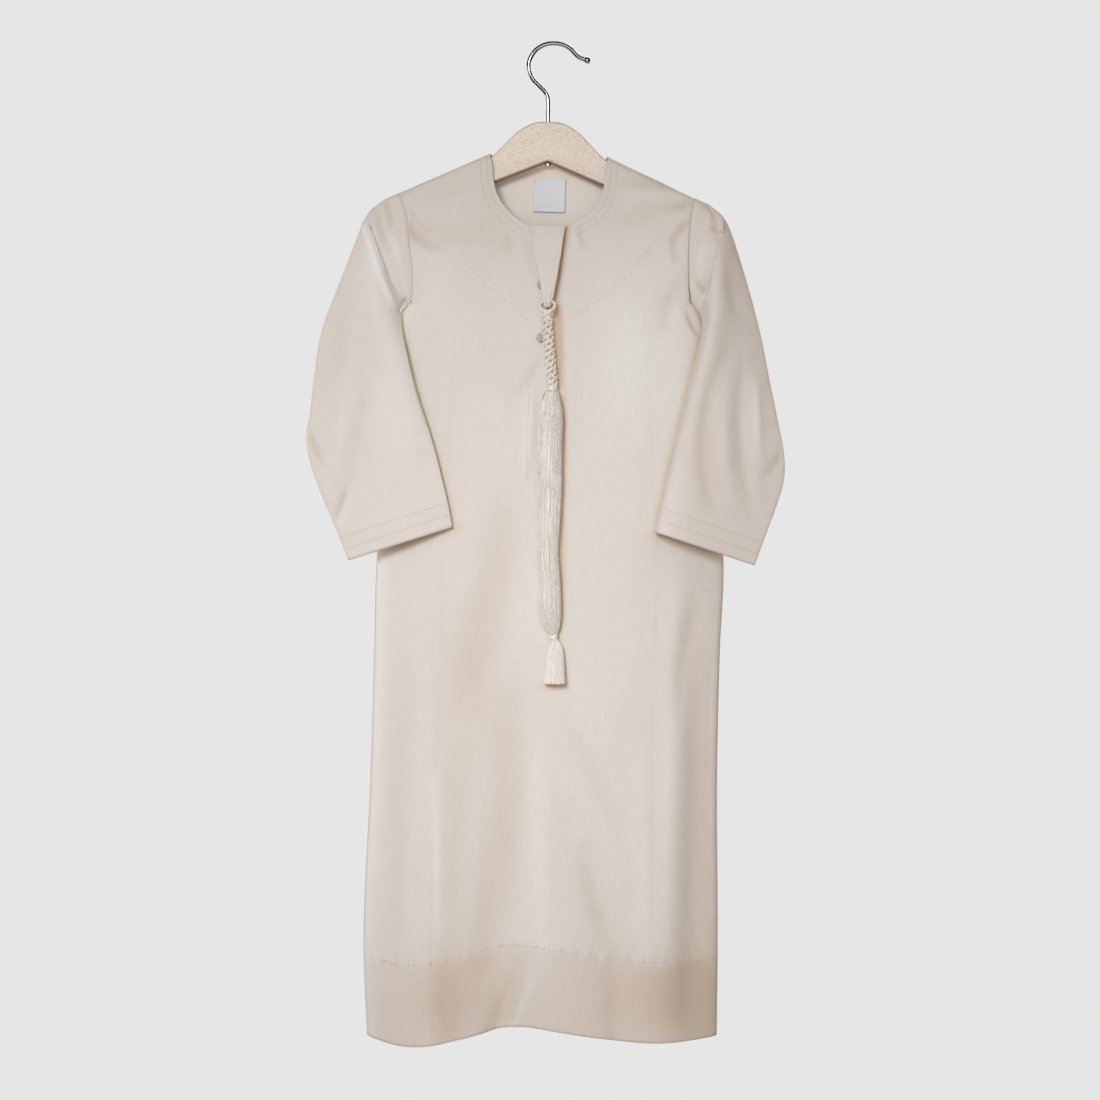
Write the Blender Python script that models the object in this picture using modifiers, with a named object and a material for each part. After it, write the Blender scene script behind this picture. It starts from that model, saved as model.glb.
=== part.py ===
"""Child's thobe robe hanging on a wooden hanger.

Metres, +Z up. The robe's front faces -Y. The origin is where a rail carries
the hanger's hook, so every height below it is negative. Tables and named
sizes are in millimetres and become metres when a mesh is made.
"""
import math

import bmesh
import bpy
from mathutils import Matrix, Vector

MM = 0.001

# ---------------------------------------------------------------- cloth
WALL = 1.2             # one layer of cloth with its seam allowances
HEM_WALL = 2.4         # turned-up cloth at the hem and the cuffs
SEAM_GAP = 0.3         # clear width left between two sewn pieces
HEM_DEPTH = 70.0       # height of the turned-up hem
BAND_STEP = 1.5        # height over which a single wall thickens to a band

# ---------------------------------------------------------------- shoulders
CENTRE_X = -5.7        # the hanger's stem, beside the hook's crown
SHOULDER_APEX_Z = -73.2   # where both shoulder lines would meet
SHOULDER_SLOPE_LEFT = 0.435
SHOULDER_SLOPE_RIGHT = 0.478
UNDERARM_Z = -227.0
ARMHOLE_TOP_LEFT = -132.0    # heights where the armholes meet the shoulder seams
ARMHOLE_TOP_RIGHT = -137.5
SIDE_FULLNESS = 2.4    # exponents of the body's cross-section: how flat its
SIDE_EDGE = 0.62       # middle is, and how sharp it is at the side seams

ARMHOLE_COLUMNS = ("z", "left", "right")
ARMHOLES = (
    (-132.0, -135.8, 124.2),
    (-146.0, -130.6, 119.8),
    (-163.0, -128.2, 117.8),
    (-180.0, -126.2, 116.9),
    (-195.0, -124.0, 116.4),
    (-213.0, -124.0, 116.9),
    (-227.0, -125.9, 118.6),
)

SIDE_COLUMNS = ("z", "left", "right")
SIDE_SEAMS = (
    (-227.0, -125.9, 118.6),
    (-231.6, -131.2, 123.8),
    (-238.4, -136.2, 129.0),
    (-255.0, -140.6, 133.6),
    (-275.0, -142.0, 135.2),
    (-330.0, -145.4, 138.0),
    (-450.0, -156.2, 148.6),
    (-535.0, -158.6, 145.4),
    (-645.0, -162.0, 143.0),
    (-752.0, -167.2, 143.5),
    (-800.0, -167.9, 143.5),
    (-872.0, -164.9, 142.8),
)

# How far the front stands forward at a height below the shoulder line.
DEPTH_COLUMNS = ("below", "depth")
FRONT_DEPTHS = (
    (0.0, 0.2),
    (1.5, 5.2),
    (4.5, 7.8),
    (12.0, 9.0),
    (30.0, 11.5),
    (60.0, 16.5),
    (100.0, 24.0),
    (150.0, 30.0),
    (250.0, 32.0),
    (400.0, 35.0),
    (560.0, 40.0),
    (700.0, 45.0),
    (810.0, 47.0),
)
BACK_TO_FRONT = 0.82   # the back is a little flatter than the front
BACK_FLATTENS_BY = 60.0   # height below the shoulders where it has become so

# Neck openings, from the left shoulder seam to the right one. Columns: x, z.
FRONT_NECKLINE = (
    (-55.6, -96.6),
    (-55.3, -98.4),
    (-55.0, -101.2),
    (-54.4, -109.0),
    (-53.4, -120.5),
    (-49.5, -134.4),
    (-42.9, -144.9),
    (-33.4, -154.4),
    (-23.8, -160.8),
    (-15.0, -161.1),
    (-6.0, -161.2),
    (3.0, -161.1),
    (11.5, -160.8),
    (25.8, -153.5),
    (35.4, -144.9),
    (41.1, -134.4),
    (43.6, -122.5),
    (44.7, -111.0),
    (45.4, -103.4),
    (45.7, -101.0),
    (46.0, -99.0),
)
BACK_NECKLINE = (
    (-55.6, -96.6),
    (-54.8, -97.8),
    (-51.6, -98.6),
    (-42.0, -99.2),
    (-24.0, -99.7),
    (-5.7, -99.9),
    (14.0, -100.1),
    (32.0, -100.4),
    (41.6, -100.6),
    (45.2, -100.2),
    (46.0, -99.0),
)

# Bottom edges, across the robe from the left side seam (-1) to the right one (1).
HEM_COLUMNS = ("across", "z")
FRONT_HEM = (
    (-1.0, -870.3),
    (-0.82, -875.3),
    (-0.64, -873.9),
    (-0.38, -864.6),
    (-0.20, -857.5),
    (-0.08, -856.9),
    (0.10, -861.1),
    (0.30, -866.3),
    (0.48, -870.2),
    (0.70, -871.8),
    (1.0, -870.3),
)
BACK_HEM = (
    (-1.0, -870.3),
    (-0.5, -868.5),
    (0.0, -866.0),
    (0.5, -868.0),
    (1.0, -870.3),
)

# Long soft folds: where each one runs at four heights, how wide it is, the
# height where it starts and how far it stands out at the hem (minus is a valley).
FOLD_LEVELS = (-380.0, -560.0, -720.0, -870.0)
FOLD_COLUMNS = ("at_chest", "at_waist", "at_knee", "at_hem", "width", "start", "height")
FRONT_FOLDS = (
    (-28.0, -78.0, -56.0, -40.0, 24.0, -330.0, -8.0),
    (-98.0, -114.0, -112.0, -114.0, 30.0, -450.0, 7.0),
    (26.0, 6.0, 36.0, 60.0, 22.0, -420.0, -4.5),
    (86.0, 92.0, 96.0, 98.0, 28.0, -450.0, 6.0),
)
BACK_FOLDS = (
    (-70.0, -84.0, -92.0, -98.0, 28.0, -330.0, 6.0),
    (-20.0, -30.0, -38.0, -42.0, 26.0, -380.0, -7.0),
    (30.0, 24.0, 20.0, 14.0, 28.0, -420.0, 5.0),
    (70.0, 74.0, 72.0, 76.0, 24.0, -360.0, -6.0),
)

# Rows of the body's grid: shares of the height from the top edge to the
# underarm, then from the underarm to the hem's fold line.
UPPER_ROWS = (0.0, 0.016, 0.045, 0.12, 0.28, 0.5, 0.74)
LOWER_ROWS = (0.0, 0.008, 0.02, 0.05, 0.11, 0.2, 0.3, 0.4, 0.5, 0.6, 0.7, 0.8, 0.9, 1.0)
HEM_ROWS = (HEM_DEPTH - BAND_STEP, 46.0, 22.0, 0.0)
SHOULDER_STEPS = 6     # columns of cloth along one shoulder
EDGE_CROWDING = 1.9    # draws those columns towards the rounded side

# ---------------------------------------------------------------- sleeves
# Each row is one ring of the sleeve's tube, from the armhole to the cuff: the
# ring's outer and inner ends seen from the front, how far forward each end
# lies, the swell of its front and back layers, and how far the front layer is
# pushed under the big fold that runs from the shoulder tip to the underarm.
# The last two rings bound the cuff's turned-up band, which is 24 deep.
SLEEVE_COLUMNS = (
    "outer_x", "outer_z", "inner_x", "inner_z",
    "outer_forward", "inner_forward", "front", "back", "tuck",
)
LEFT_SLEEVE = (
    (-148.6, -135.0, -129.4, -229.0, 0.0, 0.0, 13.5, 12.5, 0.0),
    (-158.6, -142.2, -131.2, -232.2, 0.5, 1.0, 17.0, 13.5, 6.0),
    (-161.0, -144.6, -132.8, -234.0, 0.7, 1.6, 18.6, 13.8, 8.8),
    (-163.2, -147.2, -134.0, -235.8, 0.9, 2.2, 21.4, 14.0, 6.2),
    (-165.2, -150.4, -135.0, -238.0, 1.2, 2.8, 22.9, 14.0, 0.5),
    (-167.2, -154.2, -135.8, -240.6, 1.5, 3.6, 24.2, 14.0, -1.0),
    (-172.1, -166.6, -136.4, -246.4, 2.5, 7.5, 24.8, 13.5, 0.0),
    (-186.2, -202.8, -134.6, -258.0, 4.0, 14.0, 23.5, 12.0, 0.0),
    (-204.0, -250.0, -127.6, -280.0, 6.0, 20.0, 21.0, 10.0, 0.0),
    (-210.4, -288.0, -119.0, -309.0, 8.0, 24.0, 18.5, 8.0, 0.0),
    (-214.6, -324.0, -109.6, -338.0, 10.0, 28.0, 16.5, 7.0, 0.0),
    (-217.6, -346.0, -105.4, -352.0, 11.0, 30.0, 15.5, 6.5, 0.0),
    (-213.6, -369.0, -101.4, -366.5, 12.5, 31.0, 14.5, 6.5, 0.0),
    (-204.2, -395.0, -97.2, -383.5, 14.0, 32.0, 13.5, 6.5, 0.0),
    (-189.1, -430.7, -93.0, -400.6, 16.0, 33.0, 12.5, 7.0, 0.0),
    (-180.2, -453.0, -88.4, -424.0, 18.0, 34.0, 12.0, 8.0, 0.0),
)
RIGHT_SLEEVE = (
    (134.6, -139.4, 122.2, -229.0, 0.0, 0.0, 13.5, 12.5, 0.0),
    (143.2, -146.0, 124.0, -232.2, 0.5, 1.0, 17.0, 13.5, 6.0),
    (145.4, -148.2, 125.6, -234.2, 0.7, 1.6, 18.6, 13.8, 8.8),
    (147.6, -150.6, 127.0, -236.4, 0.9, 2.2, 21.4, 14.0, 6.2),
    (149.6, -153.4, 128.6, -239.0, 1.2, 3.0, 22.9, 14.0, 0.5),
    (151.8, -157.4, 129.8, -242.2, 1.5, 4.2, 24.2, 14.0, -1.0),
    (157.6, -173.0, 130.0, -249.6, 2.5, 7.5, 24.8, 13.5, 0.0),
    (169.4, -211.0, 127.2, -264.0, 4.0, 14.0, 23.5, 12.0, 0.0),
    (180.4, -253.0, 121.0, -287.0, 6.0, 20.0, 21.0, 10.0, 0.0),
    (188.6, -295.0, 113.8, -314.0, 8.0, 24.0, 18.5, 8.0, 0.0),
    (195.6, -330.0, 106.4, -344.0, 10.0, 28.0, 16.5, 7.0, 0.0),
    (201.2, -361.0, 102.2, -362.0, 11.0, 30.0, 15.5, 6.5, 0.0),
    (200.6, -384.0, 98.8, -376.0, 12.5, 31.0, 14.5, 6.5, 0.0),
    (193.6, -407.0, 95.6, -389.5, 14.0, 32.0, 13.5, 6.5, 0.0),
    (183.2, -434.9, 92.1, -405.2, 16.0, 33.0, 12.5, 7.0, 0.0),
    (174.8, -457.4, 86.8, -428.6, 18.0, 34.0, 12.0, 8.0, 0.0),
)
RING_POINTS = 26       # points round a sleeve
CUFF_STEP_SHARE = 0.95    # where a single wall starts to thicken to the cuff band
SLEEVE_CLEARANCE = 1.4    # between a sleeve and the body behind it
LIMIT_SLOPE = 3.0      # how fast a sleeve may fall back beside the body
LIMIT_START = 2.4      # how far outside the body's inner edge that begins
LAYER_GAP = 3.0        # least space between a sleeve's two layers
ARMHOLE_SETBACK = 1.5  # sleeve's inner surface from the panels' armhole edge
SHOULDER_SETBACK = 0.5    # the same at the top
UNDERARM_SETBACK = 3.2    # the same at the bottom, where both walls turn outwards
SLEEVE_LEAN = 0.3      # how far the front layer's fullness shifts to the inner edge
LEAN_FORWARD = 14.0    # once a sleeve's inner edge lies this far forward

# ---------------------------------------------------------------- neck tab and buttons
TAB_COLUMNS = ("z", "left", "right", "stand_off")
TAB_SECTIONS = (
    (-161.0, -22.6, 9.6, 0.5),
    (-174.0, -19.8, 7.4, 1.8),
    (-188.0, -17.0, 5.4, 3.4),
    (-201.0, -14.4, 3.2, 5.4),
    (-213.0, -12.3, 0.9, 6.2),
    (-223.0, -11.0, -1.0, 6.2),
    (-229.0, -9.7, -3.0, 6.2),
    (-233.5, -8.6, -4.6, 6.2),
)
TAB_WALL = 1.6
SLIT_X = -6.0
SLIT_WIDTH = 0.8
SLIT_BOTTOM_Z = -268.0
SLIT_OVERRUN = 8.0     # how far the slit's cut runs past the neckline
SLIT_CUT_DEPTH = 60.0  # front to back, through the front panel alone
BUTTON_SIZE = (6.4, 4.4, 7.6)
BUTTON_PLACES = {"button_upper": (-12.2, -213.0), "button_lower": (-12.6, -259.8)}

# ---------------------------------------------------------------- label
LABEL_SIZE = (28.4, 29.6)
LABEL_CENTRE = (-4.4, -130.6)
LABEL_WALL = 0.6
LABEL_TURN = math.radians(-2.0)

# ---------------------------------------------------------------- tassel
ROPE_TOP_Z = -242.5
ROPE_BOTTOM_Z = -301.2
ROPE_RADIUS = 4.5
ROPE_LOBES = 3
ROPE_RELIEF = 0.16     # depth of the grooves as a share of the radius
ROPE_STRAND_PITCH = 4.9
ROPE_STEP = 1.9        # height of one ring of the rope's mesh
ROPE_COLUMNS = ("z", "x")
ROPE_PATH = ((-236.0, -6.8), (-262.0, -5.4), (-282.0, -3.6), (-306.0, -1.8), (-330.0, -2.6))
LOOP_WIRE = 1.45       # radius of the loop's cord
LOOP_HALF_WIDTH = 6.4
LOOP_TOP_Z = -226.8
LOOP_BOTTOM_Z = -237.0
LOOP_HALF_DEPTH = 2.8
LOOP_SET_BACK = 0.6    # the loop's middle behind the tab's middle
LOOP_KNOT = (4.6, 3.8, 3.0)    # half sizes of the knot under the loop
LOOP_KNOT_Z = -239.0
LOOP_KNOT_FORWARD = 0.8
BINDING_HEIGHT = 3.8
BINDING_RADIUS = 5.4
BINDING_EDGE = 1.1     # rounding of the binding's rims
TASSEL_REST = 0.5      # clear of the cloth behind

SKIRT_COLUMNS = ("z", "centre", "half_width", "half_depth")
SKIRT_SECTIONS = (
    (-309.0, -2.0, 6.6, 5.2),
    (-315.0, -2.4, 8.6, 6.0),
    (-330.0, -2.8, 10.1, 6.4),
    (-357.0, -4.2, 10.4, 6.2),
    (-393.0, -4.3, 10.5, 6.2),
    (-420.0, -5.0, 9.8, 6.0),
    (-446.0, -5.7, 9.0, 6.0),
    (-472.0, -4.0, 9.0, 5.8),
    (-498.0, -4.0, 9.6, 5.8),
    (-510.0, -3.2, 7.4, 5.0),
    (-517.4, -1.4, 3.4, 3.2),
)
SKIRT_LOCKS = 16
SKIRT_STEPS = 11       # sections down a lock of the skirt, and of the tuft
TUFT_STEPS = 4
LOCK_THICKNESS = 0.46  # radius of a lock as a share of the locks' spacing
HEAD_TOP_Z = -305.6
# Heights down the skirt's rounded head, and its size there against the skirt's.
HEAD_RINGS = ((HEAD_TOP_Z, 0.62), (-307.0, 0.88), (-309.5, 1.02), (-313.0, 1.02))
TUFT_COLUMNS = ("z", "centre", "half_width", "half_depth")
TUFT_SECTIONS = (
    (-524.0, 0.2, 2.6, 2.2),
    (-533.0, 0.4, 5.4, 3.6),
    (-546.0, 0.4, 7.4, 4.4),
    (-562.0, 0.5, 9.2, 5.0),
)
TUFT_LOCKS = 14
KNOT_CENTRE = (-0.4, -521.8)
KNOT_RADIUS = 3.9
KNOT_FLATNESS = 0.86   # its depth as a share of its width

# ---------------------------------------------------------------- hanger
WOOD_THICKNESS = 11.0
WOOD_EDGE = 2.4        # rounding of the wood's edges
HANGER_TILT = math.radians(1.0)   # the right arm hangs a little lower
# Half of the wood's outline, from the top of the centre round the arm and
# back to the middle of its underside. Columns: out from the stem, z.
HANGER_HALF_OUTLINE = (
    (0.0, -67.5),
    (10.0, -68.2),
    (17.7, -71.0),
    (27.5, -77.3),
    (34.0, -83.6),
    (40.5, -90.3),
    (48.4, -98.2),
    (52.5, -100.9),
    (60.0, -104.8),
    (80.0, -113.2),
    (100.0, -122.3),
    (114.0, -128.6),
    (119.6, -132.6),
    (120.8, -137.0),
    (118.0, -140.6),
    (112.0, -141.4),
    (96.0, -138.8),
    (72.0, -131.6),
    (48.0, -122.6),
    (28.0, -114.4),
    (12.0, -107.9),
    (0.0, -103.0),
)
WIRE_DIAMETER = 3.8
STEM_BOTTOM_Z = -105.6
NUT_RADIUS = 3.0
NUT_HEIGHT = 1.0
HANGER_PIVOT_Z = -85.0    # height about which the hanger tilts
BORE_DEPTH = 60.0      # more than the wood's height at the stem
# The middle of the hook's wire, from the stem to its end. Columns: x, z.
HOOK_CENTRELINE = (
    (-5.7, -64.0),
    (-5.7, -47.5),
    (-7.4, -42.0),
    (-12.6, -36.2),
    (-18.4, -30.3),
    (-21.7, -24.0),
    (-22.7, -17.6),
    (-21.2, -11.0),
    (-16.4, -4.0),
    (-8.6, 0.7),
    (0.0, 1.9),
    (8.4, 0.4),
    (14.8, -3.6),
    (18.6, -7.8),
    (22.0, -10.6),
    (26.4, -12.2),
)
HOOK_TIP_SWELL = ((1.0, 0.0), (1.42, 1.6), (1.55, 3.0), (1.30, 4.4), (0.70, 5.4))

COLOURS = {
    "cloth": ((0.72, 0.66, 0.58), 0.75, 0.0),
    "thread": ((0.83, 0.78, 0.70), 0.45, 0.0),
    "button": ((0.52, 0.45, 0.37), 0.6, 0.0),
    "label": ((0.86, 0.87, 0.90), 0.5, 0.0),
    "wood": ((0.78, 0.64, 0.48), 0.5, 0.0),
    "steel": ((0.05, 0.045, 0.04), 0.25, 1.0),
}


# ================================================================ helpers
def clear_scene():
    for thing in list(bpy.data.objects):
        bpy.data.objects.remove(thing, do_unlink=True)


def new_collection(name):
    collection = bpy.data.collections.new(name)
    bpy.context.scene.collection.children.link(collection)
    return collection


def make_materials():
    materials = {}
    for name, (colour, roughness, metallic) in COLOURS.items():
        material = bpy.data.materials.new(name)
        material.use_nodes = True
        shader = material.node_tree.nodes["Principled BSDF"]
        shader.inputs["Base Color"].default_value = (*colour, 1.0)
        shader.inputs["Roughness"].default_value = roughness
        shader.inputs["Metallic"].default_value = metallic
        materials[name] = material
    return materials


def smooth_curve(columns, rows, key, value):
    """A smooth function through one column of a table, read against another."""
    pairs = sorted((row[columns.index(key)], row[columns.index(value)]) for row in rows)
    keys = [pair[0] for pair in pairs]
    values = [pair[1] for pair in pairs]
    last = len(keys) - 1
    slopes = []
    for i in range(last + 1):
        before = max(i - 1, 0)
        after = min(i + 1, last)
        slopes.append((values[after] - values[before]) / (keys[after] - keys[before]))

    def at(position):
        if position <= keys[0]:
            return values[0]
        if position >= keys[last]:
            return values[last]
        i = max(k for k in range(last) if keys[k] <= position)
        span = keys[i + 1] - keys[i]
        t = (position - keys[i]) / span
        rise = values[i + 1] - values[i]
        start = slopes[i] * span
        end = slopes[i + 1] * span
        return values[i] + t * start + t * t * (3 * rise - 2 * start - end) \
            + t * t * t * (start + end - 2 * rise)

    return at


def mix(a, b, share):
    return a + (b - a) * share


def point(x, y, z):
    return Vector((x, y, z)) * MM


def add_object(name, mesh, material, collection):
    mesh.materials.clear()
    mesh.materials.append(material)
    thing = bpy.data.objects.new(name, mesh)
    collection.objects.link(thing)
    return thing


def mesh_of_rings(name, rings, closed_ring, capped):
    """Joins rows of points with quads; each row has the same number of points."""
    bm = bmesh.new()
    rows = [[bm.verts.new(p) for p in ring] for ring in rings]
    width = len(rows[0])
    steps = width if closed_ring else width - 1
    for upper, lower in zip(rows, rows[1:]):
        for i in range(steps):
            j = (i + 1) % width
            bm.faces.new((upper[i], lower[i], lower[j], upper[j]))
    if capped:
        bm.faces.new(rows[0])
        bm.faces.new(list(reversed(rows[-1])))
        bmesh.ops.recalc_face_normals(bm, faces=bm.faces)
    mesh = bpy.data.meshes.new(name)
    bm.to_mesh(mesh)
    bm.free()
    mesh.shade_smooth()
    return mesh


def face_outwards(mesh, outwards):
    """Turns an open sheet so that its middle face looks along a direction."""
    middle = mesh.polygons[len(mesh.polygons) // 2]
    if middle.normal.dot(outwards) < 0:
        mesh.flip_normals()


def add_wall(thing, thin, thick, thick_points):
    """Gives an inner surface its cloth, thicker at the named points."""
    group = thing.vertex_groups.new(name="thickness")
    everything = range(len(thing.data.vertices))
    group.add(list(everything), thin / thick, "REPLACE")
    group.add(list(thick_points), 1.0, "REPLACE")
    wall = thing.modifiers.new("wall", "SOLIDIFY")
    wall.thickness = thick * MM
    wall.offset = 1.0
    wall.vertex_group = group.name
    wall.use_rim = True


def join_solids(thing, other):
    """Unites two closed solids and removes the second."""
    union = thing.modifiers.new("union", "BOOLEAN")
    union.operation = "UNION"
    union.object = other
    bpy.context.view_layer.update()
    evaluated = thing.evaluated_get(bpy.context.evaluated_depsgraph_get())
    mesh = bpy.data.meshes.new_from_object(evaluated)
    thing.modifiers.clear()
    thing.data = mesh
    bpy.data.objects.remove(other, do_unlink=True)


def curve_to_mesh(curve_object, material, collection):
    """Turns a bevelled curve into a closed mesh object of the same name."""
    name = curve_object.name
    bpy.context.view_layer.update()
    evaluated = curve_object.evaluated_get(bpy.context.evaluated_depsgraph_get())
    mesh = bpy.data.meshes.new_from_object(evaluated)
    place = curve_object.matrix_world.copy()
    bpy.data.objects.remove(curve_object, do_unlink=True)
    bm = bmesh.new()
    bm.from_mesh(mesh)
    bmesh.ops.remove_doubles(bm, verts=bm.verts, dist=0.00001)
    bmesh.ops.recalc_face_normals(bm, faces=bm.faces)
    bm.to_mesh(mesh)
    bm.free()
    thing = add_object(name, mesh, material, collection)
    thing.matrix_world = place
    return thing


# ================================================================ body's form
armhole_left = smooth_curve(ARMHOLE_COLUMNS, ARMHOLES, "z", "left")
armhole_right = smooth_curve(ARMHOLE_COLUMNS, ARMHOLES, "z", "right")
side_left = smooth_curve(SIDE_COLUMNS, SIDE_SEAMS, "z", "left")
side_right = smooth_curve(SIDE_COLUMNS, SIDE_SEAMS, "z", "right")
front_depth = smooth_curve(DEPTH_COLUMNS, FRONT_DEPTHS, "below", "depth")
front_hem = smooth_curve(HEM_COLUMNS, FRONT_HEM, "across", "z")
back_hem = smooth_curve(HEM_COLUMNS, BACK_HEM, "across", "z")


def shoulder_line(x):
    """Height of the inner side of the cloth along the shoulders."""
    slope = SHOULDER_SLOPE_LEFT if x < CENTRE_X else SHOULDER_SLOPE_RIGHT
    return SHOULDER_APEX_Z - WALL - slope * abs(x - CENTRE_X)


def body_edges(z):
    """Inner side of the left and right edges of the body at a height."""
    if z > UNDERARM_Z:
        return armhole_left(z), armhole_right(z)
    turn = min(1.0, (UNDERARM_Z - z) / 12.0)
    return side_left(z) + WALL * turn, side_right(z) - WALL * turn


def across_to_x(across, z):
    left, right = body_edges(z)
    return mix(left, right, (across + 1.0) / 2.0)


def x_to_across(x, z):
    left, right = body_edges(z)
    return 2.0 * (x - left) / (right - left) - 1.0


def roundness(across):
    """1 in the middle of the cross-section, falling to 0 at the side seams."""
    return max(0.0, 1.0 - abs(across) ** SIDE_FULLNESS) ** SIDE_EDGE


def armhole_opening(z, x):
    """1 at the shoulder and 0 from the underarm down: how open the side is."""
    top = shoulder_line(x)
    if z <= UNDERARM_Z:
        return 0.0
    share = min(1.0, max(0.0, (top - z) / (top - UNDERARM_Z)))
    return 1.0 - share ** 3


def fold_height(folds, x, z, across):
    """How far the soft folds move the cloth outwards at one place."""
    total = 0.0
    for fold in folds:
        row = dict(zip(FOLD_COLUMNS, fold))
        stops = tuple(zip(FOLD_LEVELS, fold[:len(FOLD_LEVELS)]))
        middle = smooth_curve(("z", "x"), stops, "z", "x")(z)
        fade = min(1.0, max(0.0, (row["start"] - z) / (row["start"] - FOLD_LEVELS[-1])))
        reach = (x - middle) / row["width"]
        total += row["height"] * fade ** 1.3 * math.exp(-reach * reach)
    return total * (1.0 - abs(across) ** 4)


def body_depth(x, z, folds, flatness):
    """Distance of the body's inner surface from the plane of the side seams."""
    across = max(-1.0, min(1.0, x_to_across(x, z)))
    below = max(0.0, shoulder_line(x) - z)
    scale = mix(1.0, flatness, min(1.0, below / BACK_FLATTENS_BY))
    side = armhole_opening(z, x)
    lens = side + (1.0 - side) * roundness(across)
    depth = scale * front_depth(below) * lens + fold_height(folds, x, z, across)
    return max(SEAM_GAP / 2.0, depth)


def front_y(x, z):
    return -body_depth(x, z, FRONT_FOLDS, 1.0)


def back_y(x, z):
    return body_depth(x, z, BACK_FOLDS, BACK_TO_FRONT)


def shoulder_columns(armhole_x, neck_x):
    """Positions along one shoulder, from the armhole to the neck, closer at the armhole."""
    places = []
    for i in range(SHOULDER_STEPS):
        share = (i / SHOULDER_STEPS) ** EDGE_CROWDING
        places.append(mix(armhole_x, neck_x, share))
    return places


def top_edge(neckline):
    """The panel's upper edge: left shoulder, neckline, right shoulder."""
    left_top = armhole_left(ARMHOLE_TOP_LEFT)
    right_top = armhole_right(ARMHOLE_TOP_RIGHT)
    left = [(x, shoulder_line(x)) for x in shoulder_columns(left_top, neckline[0][0])]
    right = [(x, shoulder_line(x)) for x in shoulder_columns(right_top, neckline[-1][0])]
    neck = list(neckline)
    neck[0] = (neck[0][0], shoulder_line(neck[0][0]))
    neck[-1] = (neck[-1][0], shoulder_line(neck[-1][0]))
    return left + neck + list(reversed(right))


def panel_points(neckline, hem, surface_y):
    """Rows of points down one panel, and which of them lie on the hem band."""
    edge = top_edge(neckline)
    first_x = edge[0][0]
    last_x = edge[-1][0]
    left_under, right_under = body_edges(UNDERARM_Z)
    shares = [(x - first_x) / (last_x - first_x) for x, z in edge]
    rows = []
    for v in UPPER_ROWS:
        row = []
        for (x_top, z_top), share in zip(edge, shares):
            z = mix(z_top, UNDERARM_Z, v)
            left, right = body_edges(z)
            x_straight = mix(x_top, mix(left_under, right_under, share), v)
            pull = abs(2.0 * share - 1.0) ** 6
            x_edge = mix(left, right, share)
            x = mix(x_straight, x_edge, pull)
            row.append(point(x, surface_y(x, z), z))
        rows.append(row)
    for v in LOWER_ROWS:
        row = []
        for share in shares:
            across = 2.0 * share - 1.0
            z = mix(UNDERARM_Z, hem(across) + HEM_DEPTH, v)
            x = across_to_x(across, z)
            row.append(point(x, surface_y(x, z), z))
        rows.append(row)
    band_start = len(rows) * len(edge)
    for height in HEM_ROWS:
        row = []
        for share in shares:
            across = 2.0 * share - 1.0
            z = hem(across) + height
            x = across_to_x(across, z)
            row.append(point(x, surface_y(x, z), z))
        rows.append(row)
    return rows, range(band_start, len(rows) * len(edge))


def build_panel(name, neckline, hem, surface_y, outwards, material, collection):
    rows, band = panel_points(neckline, hem, surface_y)
    mesh = mesh_of_rings(name, rows, closed_ring=False, capped=False)
    face_outwards(mesh, outwards)
    panel = add_object(name, mesh, material, collection)
    add_wall(panel, WALL, HEM_WALL, band)
    return panel


def cut_slit(panel, cutters):
    """Opens the front from the neckline down to just below the lower button."""
    top = FRONT_NECKLINE[len(FRONT_NECKLINE) // 2][1] + SLIT_OVERRUN
    bpy.ops.mesh.primitive_cube_add(size=1.0)
    cutter = bpy.context.object
    cutter.name = "slit_cutter"
    cutter.scale = (SLIT_WIDTH * MM, SLIT_CUT_DEPTH * MM, (top - SLIT_BOTTOM_Z) * MM)
    cutter.location = point(SLIT_X, -SLIT_CUT_DEPTH / 2.0, (top + SLIT_BOTTOM_Z) / 2.0)
    cutter.hide_render = True
    cutter.display_type = "WIRE"
    for owner in list(cutter.users_collection):
        owner.objects.unlink(cutter)
    cutters.objects.link(cutter)
    cut = panel.modifiers.new("slit", "BOOLEAN")
    cut.operation = "DIFFERENCE"
    cut.object = cutter


# ================================================================ sleeves
def sleeve_limit(x, z):
    """Furthest back that a sleeve's inner surface may lie in front of the body."""
    reach = WALL + SLEEVE_CLEARANCE + HEM_WALL
    if z > UNDERARM_Z:
        return 1000.0
    left, right = body_edges(z)
    beyond = max(left - x, x - right)
    if beyond > 0.0:
        return -reach + LIMIT_SLOPE * max(0.0, beyond - LIMIT_START)
    return front_y(x, z) - reach


def armhole_ring(side, top_z):
    """The sleeve's first ring, just outside the armhole edges of both panels."""
    armhole = armhole_left if side < 0 else armhole_right
    ring = []
    for i in range(RING_POINTS):
        angle = 2.0 * math.pi * i / RING_POINTS
        up = (1.0 - math.cos(angle)) / 2.0
        z = mix(UNDERARM_Z + 1.5, top_z, up)
        seam_x = armhole(z)
        y = 0.0
        if i < RING_POINTS / 2 and i > 0:
            y = front_y(seam_x, z)
        if i > RING_POINTS / 2:
            y = back_y(seam_x, z)
        bulge = 4.0 * up * (1.0 - up)
        setback = mix(SHOULDER_SETBACK, ARMHOLE_SETBACK, bulge)
        setback += (UNDERARM_SETBACK - SHOULDER_SETBACK) * (1.0 - up) ** 8
        ring.append(point(seam_x + side * setback, y, z))
    return ring


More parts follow.
